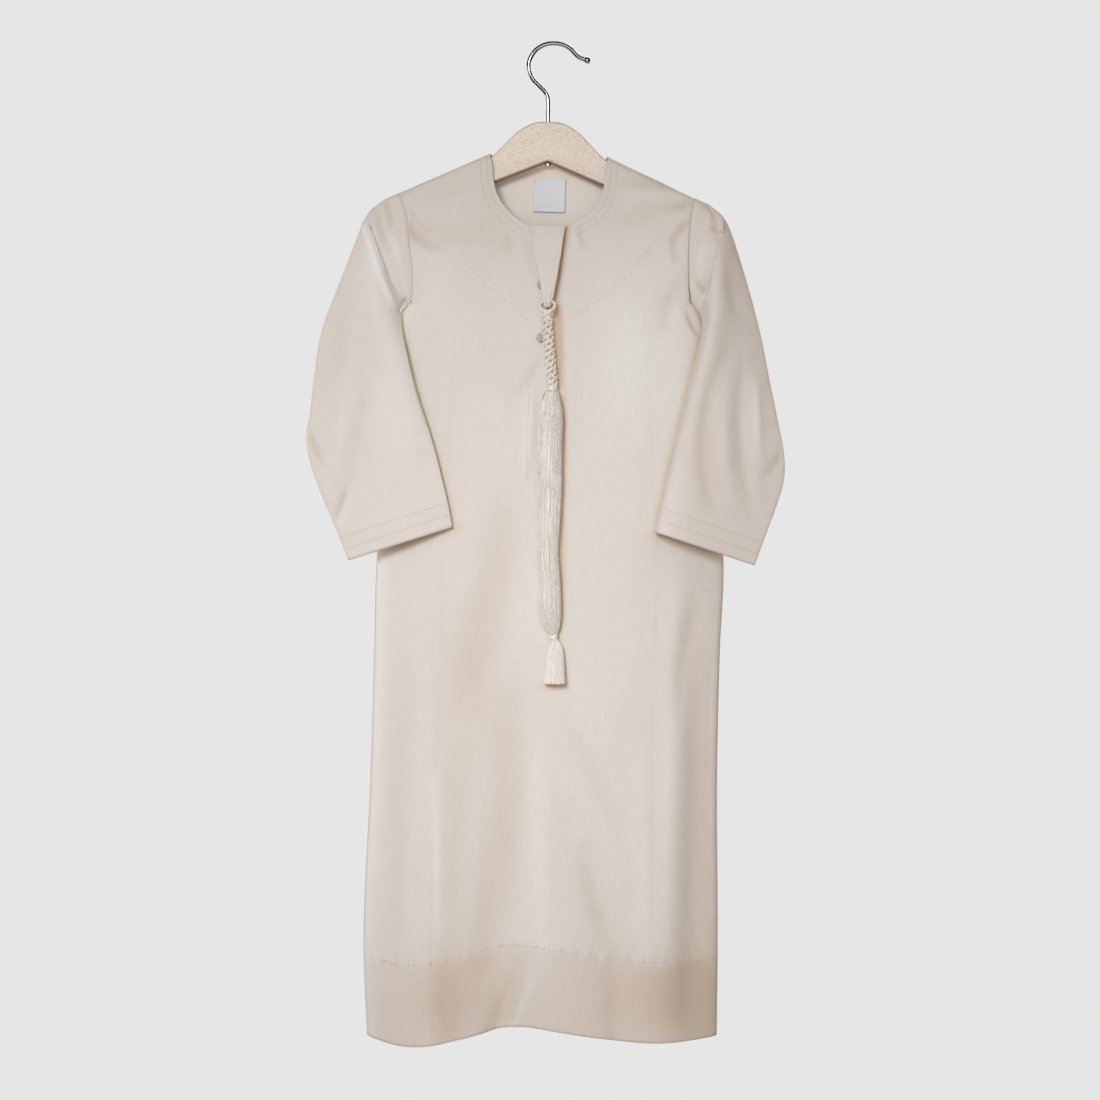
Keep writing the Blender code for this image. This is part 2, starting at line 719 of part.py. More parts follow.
def sleeve_ring(row, side):
    """One flattened ring of the tube between its inner and outer ends."""
    values = dict(zip(SLEEVE_COLUMNS, row))
    inner = Vector((values["inner_x"], values["inner_z"]))
    outer = Vector((values["outer_x"], values["outer_z"]))
    along = (outer - inner).normalized()
    inner += along * WALL
    outer -= along * WALL
    away = Vector((along.y, -along.x)) * side
    lean = SLEEVE_LEAN * min(1.0, values["inner_forward"] / LEAN_FORWARD)
    ring = []
    for i in range(RING_POINTS):
        angle = 2.0 * math.pi * i / RING_POINTS
        share = (1.0 - math.cos(angle)) / 2.0
        swell = abs(math.sin(angle)) ** 0.9
        place = inner.lerp(outer, share)
        y = -mix(values["inner_forward"], values["outer_forward"], share)
        on_front = i < RING_POINTS / 2
        if on_front:
            place = place + away * values["tuck"] * swell ** 3
            limit = sleeve_limit(place.x, place.y) - LAYER_GAP * swell
            fullness = values["front"] * (1.0 + lean * math.cos(angle))
            y = min(y - fullness * swell, limit)
        else:
            y = min(y + values["back"] * swell, sleeve_limit(place.x, place.y))
        ring.append(point(place.x, y, place.y))
    return ring


def halfway(row, other, share):
    return tuple(mix(a, b, share) for a, b in zip(row, other))


def build_sleeve(name, table, side, top_z, material, collection):
    above_band = halfway(table[-3], table[-2], CUFF_STEP_SHARE)
    rows = table[:-2] + (above_band,) + table[-2:]
    rings = [armhole_ring(side, top_z)] + [sleeve_ring(row, side) for row in rows]
    mesh = mesh_of_rings(name, rings, closed_ring=True, capped=False)
    bm = bmesh.new()
    bm.from_mesh(mesh)
    bmesh.ops.recalc_face_normals(bm, faces=bm.faces)
    bm.to_mesh(mesh)
    bm.free()
    sleeve = add_object(name, mesh, material, collection)
    band = range((len(rings) - 2) * RING_POINTS, len(rings) * RING_POINTS)
    add_wall(sleeve, WALL, HEM_WALL, band)
    return sleeve


# ================================================================ trimmings
def outside_front(x, z):
    """The front panel's outer surface."""
    return front_y(x, z) - WALL


def build_neck_tab(material, collection):
    rows = []
    steps = 6
    for section in TAB_SECTIONS:
        values = dict(zip(TAB_COLUMNS, section))
        row = []
        for i in range(steps + 1):
            x = mix(values["left"], values["right"], i / steps)
            z = values["z"]
            flat = outside_front(SLIT_X, z) - values["stand_off"]
            y = min(flat, outside_front(x, z) - SEAM_GAP)
            row.append(point(x, y, z))
        rows.append(row)
    mesh = mesh_of_rings("neck_tab", rows, closed_ring=False, capped=False)
    face_outwards(mesh, Vector((0, -1, 0)))
    tab = add_object("neck_tab", mesh, material, collection)
    add_wall(tab, TAB_WALL, TAB_WALL, [])
    return tab


def build_button(name, place, material, collection):
    x, z = place
    bpy.ops.mesh.primitive_uv_sphere_add(segments=12, ring_count=8, radius=0.5)
    button = bpy.context.object
    button.name = name
    button.scale = [size * MM for size in BUTTON_SIZE]
    y = outside_front(x, z) - SEAM_GAP - BUTTON_SIZE[1] / 2.0
    button.location = point(x, y, z)
    button.data.shade_smooth()
    button.data.materials.append(material)
    for owner in list(button.users_collection):
        owner.objects.unlink(button)
    collection.objects.link(button)
    return button


def build_label(material, collection):
    """A plain woven square on the inside of the back panel."""
    half_width = LABEL_SIZE[0] / 2.0
    half_height = LABEL_SIZE[1] / 2.0
    steps = 4
    rows = []
    for j in range(steps + 1):
        row = []
        for i in range(steps + 1):
            local_x = mix(-half_width, half_width, i / steps)
            local_z = mix(half_height, -half_height, j / steps)
            x = LABEL_CENTRE[0] + local_x * math.cos(LABEL_TURN) - local_z * math.sin(LABEL_TURN)
            z = LABEL_CENTRE[1] + local_x * math.sin(LABEL_TURN) + local_z * math.cos(LABEL_TURN)
            row.append(point(x, back_y(x, z) - SEAM_GAP, z))
        rows.append(row)
    mesh = mesh_of_rings("label", rows, closed_ring=False, capped=False)
    face_outwards(mesh, Vector((0, -1, 0)))
    label = add_object("label", mesh, material, collection)
    add_wall(label, LABEL_WALL, LABEL_WALL, [])
    return label


# ================================================================ tassel
rope_x = smooth_curve(ROPE_COLUMNS, ROPE_PATH, "z", "x")


def rope_centre(z):
    x = rope_x(z)
    y = outside_front(x, z) - TASSEL_REST - ROPE_RADIUS
    return x, y


def build_rope(material, collection):
    """A twisted cord: a lobed section that turns as it goes down."""
    length = ROPE_TOP_Z - ROPE_BOTTOM_Z
    turns = length / (ROPE_STRAND_PITCH * ROPE_LOBES)
    ring_points = 4 * ROPE_LOBES
    steps = int(length / ROPE_STEP)
    rings = []
    for j in range(steps + 1):
        share = j / steps
        z = mix(ROPE_TOP_Z, ROPE_BOTTOM_Z, share)
        x, y = rope_centre(z)
        ring = []
        for i in range(ring_points):
            angle = 2.0 * math.pi * i / ring_points
            lobe = math.cos(ROPE_LOBES * (angle + 2.0 * math.pi * turns * share))
            radius = ROPE_RADIUS * (1.0 - ROPE_RELIEF * (1.0 - lobe) / 2.0)
            ring.append(point(x + radius * math.cos(angle), y + radius * math.sin(angle), z))
        rings.append(ring)
    mesh = mesh_of_rings("tassel_rope", rings, closed_ring=True, capped=True)
    return add_object("tassel_rope", mesh, material, collection)


def build_loop(material, collection):
    """The cord's looped end, round the tab's gathered tip, with its knot."""
    knot_x, knot_y = rope_centre(ROPE_TOP_Z)
    tab_y = outside_front(SLIT_X, LOOP_TOP_Z) - TAB_SECTIONS[-1][3] - TAB_WALL / 2.0
    curve = bpy.data.curves.new("tassel_loop", "CURVE")
    curve.dimensions = "3D"
    curve.bevel_depth = LOOP_WIRE * MM
    curve.bevel_resolution = 2
    spline = curve.splines.new("POLY")
    count = 20
    spline.points.add(count - 1)
    for i, item in enumerate(spline.points):
        angle = 2.0 * math.pi * i / count
        x = knot_x + LOOP_HALF_WIDTH * math.sin(angle)
        z = mix(LOOP_BOTTOM_Z, LOOP_TOP_Z, (1.0 - math.cos(angle)) / 2.0)
        y = tab_y + LOOP_SET_BACK - LOOP_HALF_DEPTH * math.cos(angle)
        item.co = (*point(x, y, z), 1.0)
    spline.use_cyclic_u = True
    raw = bpy.data.objects.new("tassel_loop", curve)
    collection.objects.link(raw)
    loop = curve_to_mesh(raw, material, collection)
    bpy.ops.mesh.primitive_uv_sphere_add(segments=14, ring_count=8, radius=1.0)
    knot = bpy.context.object
    knot.scale = [half * MM for half in LOOP_KNOT]
    knot.location = point(knot_x, knot_y - LOOP_KNOT_FORWARD, LOOP_KNOT_Z)
    bpy.ops.object.transform_apply(location=False, rotation=False, scale=True)
    join_solids(loop, knot)
    return loop


def build_binding(material, collection):
    """Thread wound round the cord where the long threads begin."""
    z = (ROPE_BOTTOM_Z + HEAD_TOP_Z) / 2.0
    x = rope_x(z)
    y = outside_front(x, z) - TASSEL_REST - BINDING_RADIUS
    bpy.ops.mesh.primitive_cylinder_add(vertices=18, radius=BINDING_RADIUS * MM,
                                        depth=BINDING_HEIGHT * MM)
    binding = bpy.context.object
    binding.name = "tassel_binding"
    binding.location = point(x, y, z)
    edge = binding.modifiers.new("rounded", "BEVEL")
    edge.width = BINDING_EDGE * MM
    edge.segments = 2
    edge.limit_method = "ANGLE"
    binding.data.shade_smooth()
    binding.data.materials.append(material)
    for owner in list(binding.users_collection):
        owner.objects.unlink(binding)
    collection.objects.link(binding)
    return binding


def bundle_centre(sections, columns, z):
    """Middle and half sizes of a bundle of threads at a height."""
    x = smooth_curve(columns, sections, "z", "centre")(z)
    half_width = smooth_curve(columns, sections, "z", "half_width")(z)
    half_depth = smooth_curve(columns, sections, "z", "half_depth")(z)
    y = outside_front(x, z) - TASSEL_REST - half_depth
    return x, y, half_width, half_depth


def lock_rings(sections, columns, count, index, steps):
    """A four-sided lock that runs down the outside of its bundle."""
    angle = 2.0 * math.pi * (index + 0.5) / count
    top = sections[0][0]
    bottom = sections[-1][0]
    rings = []
    for j in range(steps + 1):
        z = mix(top, bottom, j / steps)
        x, y, half_width, half_depth = bundle_centre(sections, columns, z)
        spacing = 2.0 * math.pi / count * math.hypot(half_width * math.sin(angle),
                                                     half_depth * math.cos(angle))
        radius = LOCK_THICKNESS * spacing
        inset = radius * 1.05
        centre_x = x + (half_width - inset) * math.cos(angle)
        centre_y = y + (half_depth - inset) * math.sin(angle)
        ring = []
        for corner in range(4):
            turn = angle + math.pi / 2.0 * corner + math.pi / 4.0
            ring.append(point(centre_x + radius * math.cos(turn) * 0.9,
                              centre_y + radius * math.sin(turn) * 0.9, z))
        rings.append(ring)
    return rings


def build_bundle(name, root, sections, columns, count, steps, material, collection):
    """Locks of thread fused at their tops into one root."""
    locks = bmesh.new()
    for index in range(count):
        rings = lock_rings(sections, columns, count, index, steps)
        mesh = mesh_of_rings("lock", rings, closed_ring=True, capped=True)
        locks.from_mesh(mesh)
        bpy.data.meshes.remove(mesh)
    joined = bpy.data.meshes.new("locks")
    locks.to_mesh(joined)
    locks.free()
    strands = add_object("locks", joined, material, collection)
    root.name = name
    join_solids(root, strands)
    root.data.materials.clear()
    root.data.materials.append(material)
    for owner in list(root.users_collection):
        owner.objects.unlink(root)
    collection.objects.link(root)
    return root


def build_skirt(material, collection):
    columns = SKIRT_COLUMNS
    rings = []
    for z, grow in HEAD_RINGS:
        x, y, half_width, half_depth = bundle_centre(SKIRT_SECTIONS, columns, z)
        ring = []
        for i in range(2 * SKIRT_LOCKS):
            angle = math.pi * i / SKIRT_LOCKS
            ring.append(point(x + half_width * grow * math.cos(angle),
                              y + half_depth * grow * math.sin(angle), z))
        rings.append(ring)
    head = add_object("head", mesh_of_rings("head", rings, True, True), material, collection)
    return build_bundle("tassel_skirt", head, SKIRT_SECTIONS, columns, SKIRT_LOCKS, SKIRT_STEPS,
                        material, collection)


def build_tuft(material, collection):
    x, z = KNOT_CENTRE
    bpy.ops.mesh.primitive_uv_sphere_add(segments=16, ring_count=10, radius=1.0)
    knot = bpy.context.object
    knot.scale = (KNOT_RADIUS * MM, KNOT_RADIUS * KNOT_FLATNESS * MM, KNOT_RADIUS * MM)
    y = outside_front(x, z) - TASSEL_REST - KNOT_RADIUS * KNOT_FLATNESS
    knot.location = point(x, y, z)
    bpy.ops.object.transform_apply(location=True, rotation=False, scale=True)
    return build_bundle("tassel_tuft", knot, TUFT_SECTIONS, TUFT_COLUMNS, TUFT_LOCKS, TUFT_STEPS,
                        material, collection)


# ================================================================ hanger
def build_wood(material, collection, cutters):
    right = [(out, z) for out, z in HANGER_HALF_OUTLINE]
    left = [(-out, z) for out, z in reversed(HANGER_HALF_OUTLINE[1:-1])]
    outline = right + left
    curve = bpy.data.curves.new("hanger_wood", "CURVE")
    curve.dimensions = "2D"
    curve.fill_mode = "BOTH"
    curve.extrude = WOOD_THICKNESS / 2.0 * MM - WOOD_EDGE * MM
    curve.bevel_depth = WOOD_EDGE * MM
    curve.bevel_resolution = 1
    curve.offset = -WOOD_EDGE * MM
    spline = curve.splines.new("POLY")
    spline.points.add(len(outline) - 1)
    for item, (out, z) in zip(spline.points, outline):
        item.co = (out * MM, z * MM, 0.0, 1.0)
    spline.use_cyclic_u = True
    raw = bpy.data.objects.new("hanger_wood", curve)
    collection.objects.link(raw)
    raw.location = (CENTRE_X * MM, 0.0, 0.0)
    wood = curve_to_mesh(raw, material, collection)
    upright = Matrix.Rotation(math.radians(90.0), 4, "X")
    pivot = Matrix.Translation(Vector((0.0, 0.0, HANGER_PIVOT_Z * MM)))
    tilt = pivot @ Matrix.Rotation(HANGER_TILT, 4, "Y") @ pivot.inverted()
    wood.matrix_world = Matrix.Translation((CENTRE_X * MM, 0.0, 0.0)) @ tilt @ upright
    bore_radius = WIRE_DIAMETER / 2.0 + SEAM_GAP
    bpy.ops.mesh.primitive_cylinder_add(vertices=20, radius=bore_radius * MM, depth=BORE_DEPTH * MM)
    bore = bpy.context.object
    bore.name = "stem_bore_cutter"
    bore.location = point(CENTRE_X, 0.0, HANGER_PIVOT_Z)
    bore.hide_render = True
    bore.display_type = "WIRE"
    for owner in list(bore.users_collection):
        owner.objects.unlink(bore)
    cutters.objects.link(bore)
    cut = wood.modifiers.new("stem_bore", "BOOLEAN")
    cut.operation = "DIFFERENCE"
    cut.object = bore
    return wood


def hook_points():
    """Smooth points along the hook's wire, with the swell of its rounded end."""
    route = [Vector((x, 0.0, z)) for x, z in HOOK_CENTRELINE]
    stem_top = route[0]
    points = [(Vector((CENTRE_X, 0.0, STEM_BOTTOM_Z)), 1.0), (stem_top, 1.0)]
    per_span = 2
    for i in range(len(route) - 1):
        before = route[max(i - 1, 0)]
        start = route[i]
        end = route[i + 1]
        after = route[min(i + 2, len(route) - 1)]
        for step in range(1, per_span + 1):
            t = step / per_span
            smooth = 0.5 * (2.0 * start + (end - before) * t
                            + (2.0 * before - 5.0 * start + 4.0 * end - after) * t * t
                            + (3.0 * start - before - 3.0 * end + after) * t * t * t)
            points.append((smooth, 1.0))
    tip = points[-1][0]
    heading = (tip - points[-2][0]).normalized()
    for swell, distance in HOOK_TIP_SWELL[1:]:
        points.append((tip + heading * distance, swell))
    return points


def build_hook(material, collection):
    points = hook_points()
    curve = bpy.data.curves.new("hanger_hook", "CURVE")
    curve.dimensions = "3D"
    curve.bevel_depth = WIRE_DIAMETER / 2.0 * MM
    curve.bevel_resolution = 2
    curve.use_fill_caps = True
    spline = curve.splines.new("POLY")
    spline.points.add(len(points) - 1)
    for item, (place, swell) in zip(spline.points, points):
        item.co = (*(place * MM), 1.0)
        item.radius = swell
    raw = bpy.data.objects.new("hanger_hook", curve)
    collection.objects.link(raw)
    hook = curve_to_mesh(raw, material, collection)
    hook.data.shade_smooth()
    return hook


def build_nut(material, collection):
    """The small washer that holds the stem under the wood."""
    hole = WIRE_DIAMETER / 2.0 + SEAM_GAP
    profile = (
        (hole, STEM_BOTTOM_Z + NUT_HEIGHT),
        (NUT_RADIUS, STEM_BOTTOM_Z + NUT_HEIGHT),
        (NUT_RADIUS, STEM_BOTTOM_Z),
        (hole, STEM_BOTTOM_Z),
    )
    bm = bmesh.new()
    corners = [bm.verts.new((radius * MM, 0.0, z * MM)) for radius, z in profile]
    for a, b in zip(corners, corners[1:] + corners[:1]):
        bm.edges.new((a, b))
    mesh = bpy.data.meshes.new("hanger_nut")
    bm.to_mesh(mesh)
    bm.free()
    nut = add_object("hanger_nut", mesh, material, collection)
    nut.location = (CENTRE_X * MM, 0.0, 0.0)
    turn = nut.modifiers.new("turned", "SCREW")
    turn.steps = 20
    turn.render_steps = 20
    turn.use_merge_vertices = True
    turn.merge_threshold = 0.00001
    return nut


def main():
    clear_scene()
    materials = make_materials()
    robe = new_collection("thobe_robe_on_hanger")
    cutters = new_collection("cutters")
    cloth = materials["cloth"]
    thread = materials["thread"]
    forward = Vector((0, -1, 0))
    backward = Vector((0, 1, 0))

    build_wood(materials["wood"], robe, cutters)
    build_hook(materials["steel"], robe)
    build_nut(materials["steel"], robe)

    front = build_panel("body_front", FRONT_NECKLINE, front_hem, front_y, forward, cloth, robe)
    cut_slit(front, cutters)
    build_panel("body_back", BACK_NECKLINE, back_hem, back_y, backward, cloth, robe)
    left_top = shoulder_line(armhole_left(ARMHOLE_TOP_LEFT))
    right_top = shoulder_line(armhole_right(ARMHOLE_TOP_RIGHT))
    build_sleeve("sleeve_left", LEFT_SLEEVE, -1, left_top, cloth, robe)
    build_sleeve("sleeve_right", RIGHT_SLEEVE, 1, right_top, cloth, robe)

    build_neck_tab(cloth, robe)
    for name, place in BUTTON_PLACES.items():
        build_button(name, place, materials["button"], robe)
    build_label(materials["label"], robe)

    build_loop(thread, robe)
    build_rope(thread, robe)
    build_binding(thread, robe)
    build_skirt(thread, robe)
    build_tuft(thread, robe)


main()
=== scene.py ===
# %% [markdown]
# # A child's thobe robe on its wooden hanger
# The object is a long cream robe of fine cotton. It hangs on a pale wooden hanger with a wire hook,
# and a twisted rope with a long silky tassel hangs from a small tab at its neckline.
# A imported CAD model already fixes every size. This lesson dresses that model: each plain solid is
# replaced by a finer piece of the same form, and each piece gets a material made of nodes.
# We load the CAD model first, so that every later piece can be set against it.

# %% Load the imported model
import math

import bmesh
import bpy
import numpy as np
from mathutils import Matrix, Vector
from mathutils.bvhtree import BVHTree


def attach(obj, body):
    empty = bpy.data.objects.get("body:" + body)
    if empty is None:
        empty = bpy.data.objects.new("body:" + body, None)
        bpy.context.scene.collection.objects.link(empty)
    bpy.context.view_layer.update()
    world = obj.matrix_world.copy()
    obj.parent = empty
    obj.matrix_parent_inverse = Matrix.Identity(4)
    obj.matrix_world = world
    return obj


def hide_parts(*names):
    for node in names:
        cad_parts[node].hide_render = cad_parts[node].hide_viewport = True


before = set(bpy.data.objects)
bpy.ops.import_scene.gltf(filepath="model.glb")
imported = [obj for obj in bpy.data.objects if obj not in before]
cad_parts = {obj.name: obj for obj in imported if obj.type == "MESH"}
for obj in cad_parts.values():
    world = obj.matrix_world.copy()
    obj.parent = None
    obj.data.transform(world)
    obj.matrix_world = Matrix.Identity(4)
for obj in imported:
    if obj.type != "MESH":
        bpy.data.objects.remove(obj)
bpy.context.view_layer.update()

print("CAD nodes:", sorted(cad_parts))

# %% [markdown]
# ## The camera
# The robe is seen square on, from a little over two and a half metres away, with the whole hanger
# and hem in a square frame. A long lens keeps the sides of the robe parallel. The camera is made
# first, because the rest of the scene is judged through it.

# %% Set up the camera
MM = 0.001
CAMERA_DISTANCE = 2.6
CAMERA_X = -0.004
CAMERA_Z = -0.444
FRAME_WIDTH = 0.968    # width of what the camera sees in the robe's own plane
SENSOR_WIDTH = 36.0


def put_in_scene(name, data):
    thing = bpy.data.objects.new(name, data)
    bpy.context.scene.collection.objects.link(thing)
    return thing


camera_data = bpy.data.cameras.new("studio_camera")
camera_data.sensor_width = SENSOR_WIDTH
camera_data.lens = SENSOR_WIDTH * CAMERA_DISTANCE / FRAME_WIDTH
camera = put_in_scene("studio_camera", camera_data)
camera.location = (CAMERA_X, -CAMERA_DISTANCE, CAMERA_Z)
camera.rotation_euler = (math.radians(90.0), 0.0, 0.0)
bpy.context.scene.camera = camera
print("lens:", round(camera_data.lens, 1), "mm")

# %% [markdown]
# ## Smooth curves through short tables
# A pattern cutter works from a few measured widths and lets the pencil run smoothly between them.
# The same is done here: a table holds the robe's width at a dozen heights, and a function reads a
# smooth curve through it. All tables are in millimetres. The function works on whole arrays, so a
# panel with thirty thousand points takes no time.

# %% Read a smooth curve through a table
def smooth_curve(columns, rows, value):
    """One column of a table as a smooth function of its first column."""
    pairs = sorted((row[0], row[columns.index(value)]) for row in rows)
    keys, values = np.array(pairs, float).T
    last = len(keys) - 1
    before = np.maximum(np.arange(last + 1) - 1, 0)
    after = np.minimum(np.arange(last + 1) + 1, last)
    slopes = (values[after] - values[before]) / (keys[after] - keys[before])

    def at(position):
        place = np.clip(position, keys[0], keys[last])
        i = np.clip(np.searchsorted(keys, place, side="right") - 1, 0, last - 1)
        span = keys[i + 1] - keys[i]
        t = (place - keys[i]) / span
        rise = values[i + 1] - values[i]
        start = slopes[i] * span
        end = slopes[i + 1] * span
        return (values[i] + t * start + t * t * (3 * rise - 2 * start - end)
                + t * t * t * (start + end - 2 * rise))

    return at


def mix(a, b, share):
    return a + (b - a) * share


def as_share(value):
    return np.clip(value, 0.0, 1.0)


def bell(distance, reach, profile=2):
    """1 in the middle, fading away a little beyond the reach."""
    return np.exp(-(distance / reach) ** profile)


def named_rows(columns, rows):
    return (dict(zip(columns, row)) for row in rows)


print("between 0 and 4, halfway:", mix(0.0, 4.0, 0.5))

# %% [markdown]
# ## The body's form
# The robe is cut as a front and a back, joined at the shoulders and down the sides. Hanging empty,
# it is a flat tube: each panel bulges a few centimetres in the middle and falls back to the side
# seams. These sizes are the CAD model's own, so the finer cloth lies exactly on its solid.

# %% Sizes of the body
WALL = 1.2    # the CAD model's cloth, whose outer face the fine cloth follows
CENTRE_X = -5.7
SHOULDER_APEX_Z = -73.2
SHOULDER_SLOPE_LEFT = 0.435
SHOULDER_SLOPE_RIGHT = 0.478
UNDERARM_Z = -227.0
ARMHOLE_TOP_LEFT = -132.0
ARMHOLE_TOP_RIGHT = -137.5
SIDE_FULLNESS = 2.4
SIDE_EDGE = 0.62
HEM_DEPTH = 70.0

SEAM_COLUMNS = ("z", "left", "right")
ARMHOLES = (
    (-132, -135.8, 124.2),
    (-146, -130.6, 119.8),
    (-163, -128.2, 117.8),
    (-180, -126.2, 116.9),
    (-195, -124, 116.4),
    (-213, -124, 116.9),
    (-227, -125.9, 118.6),
)
SIDE_SEAMS = (
    (-227, -125.9, 118.6),
    (-231.6, -131.2, 123.8),
    (-238.4, -136.2, 129),
    (-255, -140.6, 133.6),
    (-275, -142, 135.2),
    (-330, -145.4, 138),
    (-450, -156.2, 148.6),
    (-535, -158.6, 145.4),
    (-645, -162, 143),
    (-752, -167.2, 143.5),
    (-800, -167.9, 143.5),
    (-872, -164.9, 142.8),
)
DEPTH_COLUMNS = ("below", "depth")
FRONT_DEPTHS = (
    (0, 0.2), (1.5, 5.2), (4.5, 7.8), (12, 9), (30, 11.5), (60, 16.5), (100, 24),
    (150, 30), (250, 32), (400, 35), (560, 40), (700, 45), (810, 47),
)
BACK_TO_FRONT = 0.82
BACK_FLATTENS_BY = 60.0

armhole_left = smooth_curve(SEAM_COLUMNS, ARMHOLES, "left")
armhole_right = smooth_curve(SEAM_COLUMNS, ARMHOLES, "right")
side_left = smooth_curve(SEAM_COLUMNS, SIDE_SEAMS, "left")
side_right = smooth_curve(SEAM_COLUMNS, SIDE_SEAMS, "right")
front_depth = smooth_curve(DEPTH_COLUMNS, FRONT_DEPTHS, "depth")
print("width at the hem:", round(float(side_right(-870.0) - side_left(-870.0))), "mm")

# %% [markdown]
# The neckline and the hem are edges of their own. The hem isn't level: it drops where a fold comes
# forward and rises where one goes back.

# %% Necklines and hems
FRONT_NECKLINE = (
    (-55.6, -96.6), (-55.3, -98.4), (-55, -101.2), (-54.4, -109), (-53.4, -120.5),
    (-49.5, -134.4), (-42.9, -144.9), (-33.4, -154.4), (-23.8, -160.8), (-15, -161.1),
    (-6, -161.2), (3, -161.1), (11.5, -160.8), (25.8, -153.5), (35.4, -144.9), (41.1, -134.4),
    (43.6, -122.5), (44.7, -111), (45.4, -103.4), (45.7, -101), (46, -99),
)
BACK_NECKLINE = (
    (-55.6, -96.6), (-54.8, -97.8), (-51.6, -98.6), (-42, -99.2), (-24, -99.7),
    (-5.7, -99.9), (14, -100.1), (32, -100.4), (41.6, -100.6), (45.2, -100.2),
    (46, -99),
)
HEM_COLUMNS = ("across", "z")
FRONT_HEM = (
    (-1, -870.3), (-0.82, -875.3), (-0.64, -873.9), (-0.38, -864.6), (-0.20, -857.5),
    (-0.08, -856.9), (0.10, -861.1), (0.30, -866.3), (0.48, -870.2), (0.70, -871.8),
    (1, -870.3),
)
BACK_HEM = ((-1, -870.3), (-0.5, -868.5), (0, -866), (0.5, -868), (1, -870.3))

front_hem = smooth_curve(HEM_COLUMNS, FRONT_HEM, "z")
back_hem = smooth_curve(HEM_COLUMNS, BACK_HEM, "z")
print("middle of the hem:", round(float(front_hem(0.0))), "mm in front,",
      round(float(back_hem(0.0))), "mm behind")

# %% [markdown]
# Long soft folds run down the skirt. Each row says where a fold lies at four heights, how wide it
# is, where it starts and how far it stands out at the hem; a minus makes it a valley.

# %% Long folds
FOLD_LEVELS = (-380, -560, -720, -870)
FOLD_COLUMNS = ("at_chest", "at_waist", "at_knee", "at_hem", "width", "start", "height")
FRONT_FOLDS = (
    (-28, -78, -56, -40, 24, -330, -8),
    (-98, -114, -112, -114, 30, -450, 7),
    (26, 6, 36, 60, 22, -420, -4.5),
    (86, 92, 96, 98, 28, -450, 6),
)
BACK_FOLDS = (
    (-70, -84, -92, -98, 28, -330, 6),
    (-20, -30, -38, -42, 26, -380, -7),
    (30, 24, 20, 14, 28, -420, 5),
    (70, 74, 72, 76, 24, -360, -6),
)


def fold_height(folds, x, z, across):
    total = np.zeros_like(x)
    for row in named_rows(FOLD_COLUMNS, folds):
        stops = tuple(zip(FOLD_LEVELS, row.values()))
        middle = smooth_curve(("z", "x"), stops, "x")(z)
        fade = as_share((row["start"] - z) / (row["start"] - FOLD_LEVELS[-1]))
        total += row["height"] * fade ** 1.3 * bell(x - middle, row["width"])
    return total * (1.0 - np.abs(across) ** 4)


print("long folds:", len(FRONT_FOLDS), "in front,", len(BACK_FOLDS), "behind")

# %% [markdown]
# ## The body's cross-section
# Near the shoulders the panels lie close together over the hanger. From the underarm down, the
# section is a rounded lens that closes at the side seams.

# %% How far the cloth stands from the side seams
def shoulder_line(x):
    slope = np.where(x < CENTRE_X, SHOULDER_SLOPE_LEFT, SHOULDER_SLOPE_RIGHT)
    return SHOULDER_APEX_Z - WALL - slope * np.abs(x - CENTRE_X)


def body_edges(z):
    turn = as_share((UNDERARM_Z - z) / 12.0)
    left = np.where(z > UNDERARM_Z, armhole_left(z), side_left(z) + WALL * turn)
    right = np.where(z > UNDERARM_Z, armhole_right(z), side_right(z) - WALL * turn)
    return left, right


def body_depth(x, z, folds, flatness):
    left, right = body_edges(z)
    across = np.clip(2.0 * (x - left) / (right - left) - 1.0, -1.0, 1.0)
    top = shoulder_line(x)
    below = np.maximum(0.0, top - z)
    scale = mix(1.0, flatness, np.minimum(1.0, below / BACK_FLATTENS_BY))
    share = as_share(below / (top - UNDERARM_Z))
    side = np.where(z > UNDERARM_Z, 1.0 - share ** 3, 0.0)
    roundness = np.maximum(0.0, 1.0 - np.abs(across) ** SIDE_FULLNESS) ** SIDE_EDGE
    lens = side + (1.0 - side) * roundness
    return np.maximum(0.15, scale * front_depth(below) * lens + fold_height(folds, x, z, across))


print("depth at the chest:", round(float(body_depth(np.array([0.0]), np.array([-300.0]),
                                                  FRONT_FOLDS, 1.0)[0]), 1), "mm")

# %% [markdown]
# ## Creases
# Pressed cotton keeps soft creases where it was folded or where a seam pulls on it. A brush of
# noise would make the robe look crumpled all over, so each crease is listed one by one. A row gives
# its two ends, how far it bows sideways, its width, and its height at the start, the middle and
# the end. The last number is its profile: 2 is a soft swell, 1 is a sharp pressed line.

# %% Measure creases at many points
CREASE_COLUMNS = ("x1", "z1", "x2", "z2", "bow", "width", "h1", "h2", "h3", "profile")
CREASE_STEPS = 24
CREASE_REACH = 4.0    # in widths; further away, a crease is too faint to count


def near_line(x, z, line):
    """How far each point lies from a line, and how far along the line (0 to 1)."""
    nearest = np.full(x.shape, 1e9)
    along = np.zeros(x.shape)
    for i, ((x1, z1), (x2, z2)) in enumerate(zip(line[:-1], line[1:])):
        run, rise = x2 - x1, z2 - z1
        share = ((x - x1) * run + (z - z1) * rise) / max(run * run + rise * rise, 1e-6)
        share = as_share(share)
        away = np.hypot(x - x1 - share * run, z - z1 - share * rise)
        closer = away < nearest
        nearest[closer] = away[closer]
        along[closer] = (i + share[closer]) / (len(line) - 1)
    return nearest, along


